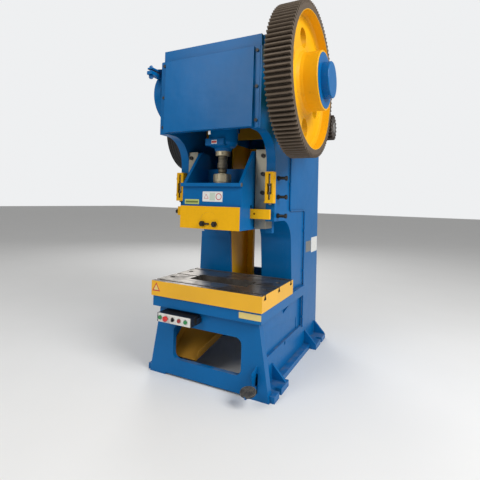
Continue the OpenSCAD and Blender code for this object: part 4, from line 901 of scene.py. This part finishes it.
strip_at = Vector((-163 * MM, slide_face_y, slide_low.z + 193 * MM))
flat_plate("slide_strip_plate", "slide", lime_plate, strip_at, FRONT, (125 * MM, 36 * MM))
flat_plate("slide_strip_band", "slide", olive_ink, strip_at + on_plate, FRONT,
           (108 * MM, 14 * MM), INK_T, 1 * MM)

rod_low = places["connecting_rod"][0]
ROD_FLAT_AHEAD = 116 * MM
rod_plate_at = Vector((-12 * MM, crank_axis.y - ROD_FLAT_AHEAD, rod_low.z + 58 * MM))
flat_plate("rod_plate", "rod", white_plate, rod_plate_at, FRONT, (46 * MM, 28 * MM),
           corner=1 * MM)
flat_plate("rod_plate_field", "rod", red_ink, rod_plate_at + on_plate, FRONT,
           (42 * MM, 15 * MM), INK_T, 1 * MM)
print("slide's plate at z", round(slide_plate_at.z, 3), "rod's plate at z", round(rod_plate_at.z, 3))

# %% [markdown]
# ## Plates on the bed and the bolster
# A straw-coloured plate is riveted to the right end of the bed's edge. A red triangle with a straw
# middle is on the left end of the bolster: a sign's outline, without its picture.

# %% Bed's plate and bolster's triangle
bed_plate_at = Vector((360 * MM, bed_low.y, bed_low.z + 43 * MM))
riveted_plate("bed_name_plate", "frame", straw_plate, bed_plate_at, FRONT,
              (162 * MM, 40 * MM))

triangle_at = Vector((-406 * MM, bolster_low.y, bolster_low.z + 56 * MM))
triangle = circle(42 * MM, 3, math.pi / 2)
piece("bolster_triangle", "frame", red_ink,
      lambda bm: pressed(bm, triangle_at, FRONT, triangle, PLATE_T))
inner_at = triangle_at + Vector((0, -PLATE_T, 1 * MM))
inner_triangle = circle(27 * MM, 3, math.pi / 2)
piece("bolster_triangle_field", "frame", straw_plate,
      lambda bm: pressed(bm, inner_at, FRONT, inner_triangle, INK_T, 0.1 * MM))
print("bed's plate at z", round(bed_plate_at.z, 3))

# %% [markdown]
# ## Plates on the column
# Two plates sit side by side on the right column: a grey etched one and a white one. Both lie on the
# cheek's outer face, so their right runs to the back of the press and their top points up.

# %% Column's plates
grey_at = Vector((outer_x, 432 * MM, 905 * MM))
riveted_plate("side_grey_plate", "frame", grey_plate, grey_at, RIGHT_SIDE,
              (166 * MM, 99 * MM))
white_at = Vector((outer_x, 626 * MM, 907 * MM))
riveted_plate("side_white_plate", "frame", white_plate, white_at, RIGHT_SIDE,
              (204 * MM, 140 * MM))
print("plates on the column at", [round(v, 3) for v in grey_at], [round(v, 3) for v in white_at])

# %% [markdown]
# ## Weld beads
# The feet, gussets and leg plate are welded, and a rippled bead shows in every corner. A bead is a bar
# swept along the corner, and its radius swells a little for each ripple, as the pool of metal froze.

# %% One weld bead
RIPPLE = 5 * MM
STEPS_A_RIPPLE = 4


def bead(bm, start, end, radius=4.5 * MM):
    """One weld bead from start to end."""
    start, end = Vector(start), Vector(end)
    steps = max(6, int((end - start).length / (RIPPLE / STEPS_A_RIPPLE)))
    path = [start.lerp(end, k / steps) for k in range(steps + 1)]
    tube(bm, path, lambda i: radius * (0.92 + 0.10 * abs(math.sin(math.pi * i / STEPS_A_RIPPLE))), 6)


print("points of a 100 mm bead:", int(100 * MM / (RIPPLE / STEPS_A_RIPPLE)) + 1)

# %% [markdown]
# ## Beads on the feet
# Each foot rail has a front pad and a rear pad, and three gussets stand on them. The beads follow the
# pads along the cheek, and run up and along every gusset.

# %% Beads on both foot rails
PAD_TOP = 43 * MM
GUSSET_RISE = 108 * MM
PAD_REACH = 98 * MM
FRONT_PAD = (42 * MM, 278 * MM)
REAR_PAD = 335 * MM
FRONT_GUSSET = 218 * MM
REAR_GUSSETS = (315 * MM, 20 * MM)
BEAD_END = 4 * MM


def foot_beads(bm, side):
    """Beads of one foot rail: along both pads and up every gusset."""
    low, high = places["left_foot_rail" if side < 0 else "right_foot_rail"]
    wall = side * outer_x
    tip = side * (outer_x + PAD_REACH)
    pads = ((low.y + FRONT_PAD[0], low.y + FRONT_PAD[1]), (high.y - REAR_PAD, high.y))
    for y0, y1 in pads:
        bead(bm, (wall, y0 + BEAD_END, PAD_TOP), (wall, y1 - BEAD_END, PAD_TOP))
    for y in (low.y + FRONT_GUSSET, *(high.y - back for back in REAR_GUSSETS)):
        bead(bm, (wall, y, PAD_TOP), (wall, y, PAD_TOP + GUSSET_RISE))
        bead(bm, (wall, y, PAD_TOP), (tip, y, PAD_TOP))


for name, side in (("left_foot_welds", -1), ("right_foot_welds", 1)):
    piece(name, "frame", blue_enamel, lambda bm: foot_beads(bm, side))
print("beads on each foot rail:", 2 + 2 * 3)

# %% [markdown]
# ## Seams of the bed and the head
# The leg plate is welded under the bed, the bed's side has a shallow pocket with a gusset in it, and the
# head's top plate lies between the cheeks. Each seam is a straight bead.

# %% Beads on the bed and the head
LEG_HALF_W = 395 * MM
POCKET_D = 15 * MM
BED_GUSSET_Y = (-170 * MM, -158 * MM)
HEAD_SEAM_FROM = 89 * MM
HEAD_SEAM_TO = 5 * MM


def bed_beads(bm):
    """The leg plate's seam under the bed, and the pocket's seam on both sides of its gusset."""
    z = bed_low.z
    wall = outer_x - POCKET_D
    bead(bm, (-LEG_HALF_W, leg_front_y, z), (LEG_HALF_W, leg_front_y, z))
    bead(bm, (wall, leg_front_y + LEG_PLATE_T + BEAD_END, z), (wall, BED_GUSSET_Y[0] - BEAD_END, z))
    bead(bm, (wall, BED_GUSSET_Y[1] + BEAD_END, z), (wall, bed_high.y - 2 * MM, z))


def head_beads(bm):
    """The top plate's seams along both cheeks."""
    y0, y1 = head_low.y + HEAD_SEAM_FROM, head_high.y - HEAD_SEAM_TO
    for side in (-1, 1):
        bead(bm, (side * inner_x, y0, head_high.z), (side * inner_x, y1, head_high.z), 4 * MM)


piece("bed_welds", "frame", blue_enamel, bed_beads)
piece("head_welds", "frame", blue_enamel, head_beads)
print("head's seams at z", round(head_high.z, 3))

# %% [markdown]
# ## Threads
# A smooth rod reads as a pin. The gib adjusters and the knock-out stop screws stand out of the press,
# and get a real helix: a thin wire, which is a tube whose path turns as it climbs.

# %% Helices on the screws
THREAD_R = 10 * MM
THREAD_PITCH = 2.5 * MM
THREAD_WIRE = 0.9 * MM
NUT_IN = 17 * MM
ADJUSTER_L = 42 * MM
ADJUSTER_INSET = 15 * MM


def helix(bm, start, axis, radius, pitch, length, wire, steps=18, sides=5):
    """A wire wound about an axis from start."""
    aim = turn_to(axis)
    path = []
    for k in range(int(length / pitch * steps) + 1):
        a = 2 * math.pi * k / steps
        spot = Vector((radius * math.cos(a), radius * math.sin(a), pitch * k / steps))
        path.append(Vector(start) + aim @ spot)
    tube(bm, path, wire, sides)


def stop_threads(bm):
    low, high = places["knockout_stop_screws"]
    length = high.z - low.z - 3 * MM
    for x in (low.x + NUT_IN, high.x - NUT_IN):
        start = (x, middle("knockout_stop_screws").y, low.z + 1 * MM)
        helix(bm, start, (0, 0, 1), THREAD_R, THREAD_PITCH, length, THREAD_WIRE)


def adjuster_threads(bm):
    low, high = places["gib_adjusters"]
    bottom, top = (round(v, 3) for v in (low.z, high.z))
    for z in (bottom + ADJUSTER_INSET, (bottom + top) / 2, top - ADJUSTER_INSET):
        for side in (-1, 1):
            start = (side * (outer_x + NUT_IN), middle("gib_adjusters").y, z)
            helix(bm, start, (side, 0, 0), THREAD_R, THREAD_PITCH, ADJUSTER_L, THREAD_WIRE)


piece("stop_screw_threads", "frame", turned_steel, stop_threads)
piece("adjuster_threads", "frame", black_steel, adjuster_threads)
print("turns on an adjuster:", round(ADJUSTER_L / THREAD_PITCH))

# %% [markdown]
# ## Brake spring
# The band brake is drawn tight by a bolt with a spring, which the CAD model holds as a stack of rings.
# Here one piece, of the same length and width, takes the place of the whole bolt, with a true coil.

# %% Bolt with a coil spring
BOLT_R = 8 * MM
CUP_Z = 10 * MM
COIL_Z = 15.6 * MM
COIL_R = 14.5 * MM
TOP_NUT_Z = 80 * MM


def brake_bolt(bm):
    low, high = places["brake_tension_bolt"]
    x, y = middle("brake_tension_bolt").xy
    length = high.z - low.z
    up = (0, 0, 1)

    def at(z):
        return (x, y, low.z + z)

    end = 1 * MM
    shank = [(BOLT_R - end, 0), (BOLT_R, end), (BOLT_R, length - end), (BOLT_R - end, length)]
    cup = [(BOLT_R, 0), (18 * MM, 0), (18 * MM, 3 * MM), (BOLT_R, 3 * MM)]
    nut = in_mm((13.5, 0), (15, 1.5), (15, 10.5), (13.5, 12))
    turned(bm, at(0), up, shank, 24)
    turned(bm, at(CUP_Z), up, cup, 24)
    helix(bm, at(COIL_Z), up, COIL_R, 6 * MM, 9 * MM, 2.4 * MM, 20, 8)
    turned(bm, at(TOP_NUT_Z), up, nut, 6)
    turned(bm, at(0.5 * MM), up, [(r * 0.95, h * 0.75) for r, h in nut], 6)


brake_bolt_piece = piece("brake_bolt_and_spring", "frame", blue_enamel, brake_bolt)
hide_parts("brake_tension_bolt")
print("brake bolt replaced, at", [round(v, 3) for v in places["brake_tension_bolt"][0]])

# %% [markdown]
# ## The treadle's tread
# The pad has raised rings that keep a boot from slipping. They stand on the tilted pad, so each ring is
# turned about the pad's own axis. They ride on the treadle and go down with it.

# %% Rings on the pad
PAD_TILT = math.radians(12)
PAD_Y = -784 * MM
PAD_Z = 102 * MM
PAD_T = 10 * MM
RINGS = 4
RING_STEP = 0.2
RING_FIRST = 0.04
RING_FOOT = 2.5 * MM
RING_RISE = 1.6 * MM


def pad_rings(bm):
    up = Vector((0, -math.sin(PAD_TILT), math.cos(PAD_TILT)))
    centre = Vector((pad_x, PAD_Y, PAD_Z)) + up * PAD_T
    for k in range(1, RINGS + 1):
        r = PAD_R * (RING_STEP * k + RING_FIRST)
        # Each flank leans, and the flat top is twice as wide as it is high
        profile = [(r - RING_FOOT, -0.5 * MM), (r + RING_FOOT, -0.5 * MM),
                   (r + RING_RISE, RING_RISE), (r - RING_RISE, RING_RISE)]
        turned_ring(bm, centre, up, profile, 40)


piece("treadle_pad_rings", "treadle_lever", black_cap, pad_rings)
print("outermost ring's radius:", round(PAD_R * (RING_STEP * RINGS + RING_FIRST), 4))

# %% [markdown]
# ## Control box trim
# Each control sits in a bezel, and the box's front is held by four small screws. Both are turned about
# an axis that looks at the operator, and the bezels take their places from the controls.

# %% Bezels and panel screws
TO_OPERATOR = (0, -1, 0)
BEZEL_R = {"start_button": 13, "stop_mushroom": 11, "mode_selector": 13, "inch_button": 13,
           "motor_button": 13}
SCREW_INSET = 7 * MM
SCREW_FAR = 285 * MM


def bezels(bm):
    for name, radius in BEZEL_R.items():
        centre = middle(name)
        centre.y = box_low.y
        profile = in_mm((radius + 0.3, 0.5), (radius + 4, 0.5), (radius + 3.4, 2.6), (radius + 0.8, 3))
        turned_ring(bm, centre, TO_OPERATOR, profile, 32)


def panel_screws(bm):
    head = in_mm((2.6, 0), (2.5, 1), (1.4, 1.6))
    for x in (box_low.x + SCREW_INSET, box_low.x + SCREW_FAR):
        for z in (box_low.z + SCREW_INSET, box_high.z - SCREW_INSET):
            turned(bm, (x, box_low.y, z), TO_OPERATOR, head, 14)


piece("button_bezels", "frame", turned_steel, bezels)
piece("panel_screws", "frame", turned_steel, panel_screws)
print("bezels:", len(BEZEL_R), "screws: 4")

# %% [markdown]
# ## Oil cups and a clip
# Plain bearings are fed by hand, so a small brass cup stands on the crank's right boss and on both
# bosses of the back shaft. A white clip hangs under the front cover.

# %% Oil cups and the clip
CRANK_BOSS_R = 140 * MM
SHAFT_BOSS_R = 80 * MM
CRANK_CUP_X = 460 * MM
SHAFT_CUPS_X = (470 * MM, -480 * MM)
CLIP_AT = Vector((25 * MM, cover_back - 2 * MM, 1780 * MM))


def oil_cup(bm, foot):
    profile = in_mm((4, -2), (4, 5), (8, 7), (8, 18), (7, 20), (3, 23), (1, 24))
    turned(bm, foot, (0, 0, 1), profile, 20)


def frame_cups(bm):
    oil_cup(bm, (CRANK_CUP_X, crank_axis.y, crank_axis.z + CRANK_BOSS_R))
    shaft = middle("shaft_bushes")
    for x in SHAFT_CUPS_X:
        oil_cup(bm, (x, shaft.y, shaft.z + SHAFT_BOSS_R))


def clip(bm):
    pressed(bm, CLIP_AT, FRONT, rounded(18 * MM, 26 * MM, 2 * MM), 3 * MM)


piece("bearing_oil_cups", "frame", bronze, frame_cups)
piece("cover_clip", "frame", white_plate, clip)
print("oil cups:", 1 + len(SHAFT_CUPS_X), "clip at z", round(CLIP_AT.z, 3))

# %% [markdown] ## Floor A studio floor is plain and pale.

# %% Pale floor
FLOOR_REACH = 40.0


def pale_floor():
    mesh = bpy.data.meshes.new("studio_floor")
    reach = FLOOR_REACH
    corners = [(-reach, -reach, 0), (reach, -reach, 0), (reach, reach, 0), (-reach, reach, 0)]
    mesh.from_pydata(corners, [], [(0, 1, 2, 3)])
    floor = bpy.data.objects.new("studio_floor", mesh)
    bpy.context.scene.collection.objects.link(floor)
    look = Look("pale_floor", Roughness=0.75)
    tone = 0.97 + look.noise(0.8, 3) * 0.05
    look.feed("Base Color", look.shade((0.86, 0.86, 0.85), tone))
    mesh.materials.append(look.material)


pale_floor()
print("floor reaches", FLOOR_REACH, "m each way")

# %% [markdown]
# ## Light
# A large lamp on the right brightens the side that is bright in the photograph, a weaker one in front
# and above keeps the face of the press readable, and one behind draws its edges. A soft even light from
# the world fills the shadows. Enamel mirrors what stands round it, so the lamps are wide and weak: a
# small strong one would leave a hard white spot. Rays straight from the camera see a pale backdrop, and
# all others meet the soft light.

# %% Lamps and world


def lamp(name, place, aim, size, power):
    """A round lamp at a place, turned towards an aim."""
    data = bpy.data.lights.new(name, "AREA")
    data.shape = "DISK"
    data.size = size
    data.energy = power
    obj = bpy.data.objects.new(name, data)
    obj.location = Vector(place)
    obj.rotation_mode = "QUATERNION"
    obj.rotation_quaternion = (Vector(aim) - Vector(place)).to_track_quat("-Z", "Y")
    bpy.context.scene.collection.objects.link(obj)


def studio_world(strength, backdrop):
    """Even light of a given strength, with a pale backdrop that only the camera sees."""
    world = bpy.data.worlds.new("studio")
    world.use_nodes = True
    sky = Nodes(world.node_tree)
    from_camera = sky.node("ShaderNodeLightPath", out="Is Camera Ray")
    light = sky.node("ShaderNodeBackground", None, {"Color": (1, 1, 1, 1), "Strength": strength})
    pale = sky.node("ShaderNodeBackground", None, {"Color": (*backdrop, 1)})
    mixed = sky.node("ShaderNodeMixShader", None, {0: from_camera, 1: light, 2: pale})
    sky.node("ShaderNodeOutputWorld", None, {"Surface": mixed})
    bpy.context.scene.world = world


lamp("key_lamp", (5.2, -2.0, 4.6), (0, 0, 1.3), 3.5, 330)
lamp("front_lamp", (-2.0, -5.6, 4.4), (0, 0, 1.8), 3.0, 115)
lamp("back_lamp", (-3.5, 5.0, 4.5), (0, 0, 1.4), 3.0, 110)
studio_world(0.36, (0.86, 0.87, 0.88))
bpy.context.scene.view_settings.view_transform = "Standard"

# %% [markdown]
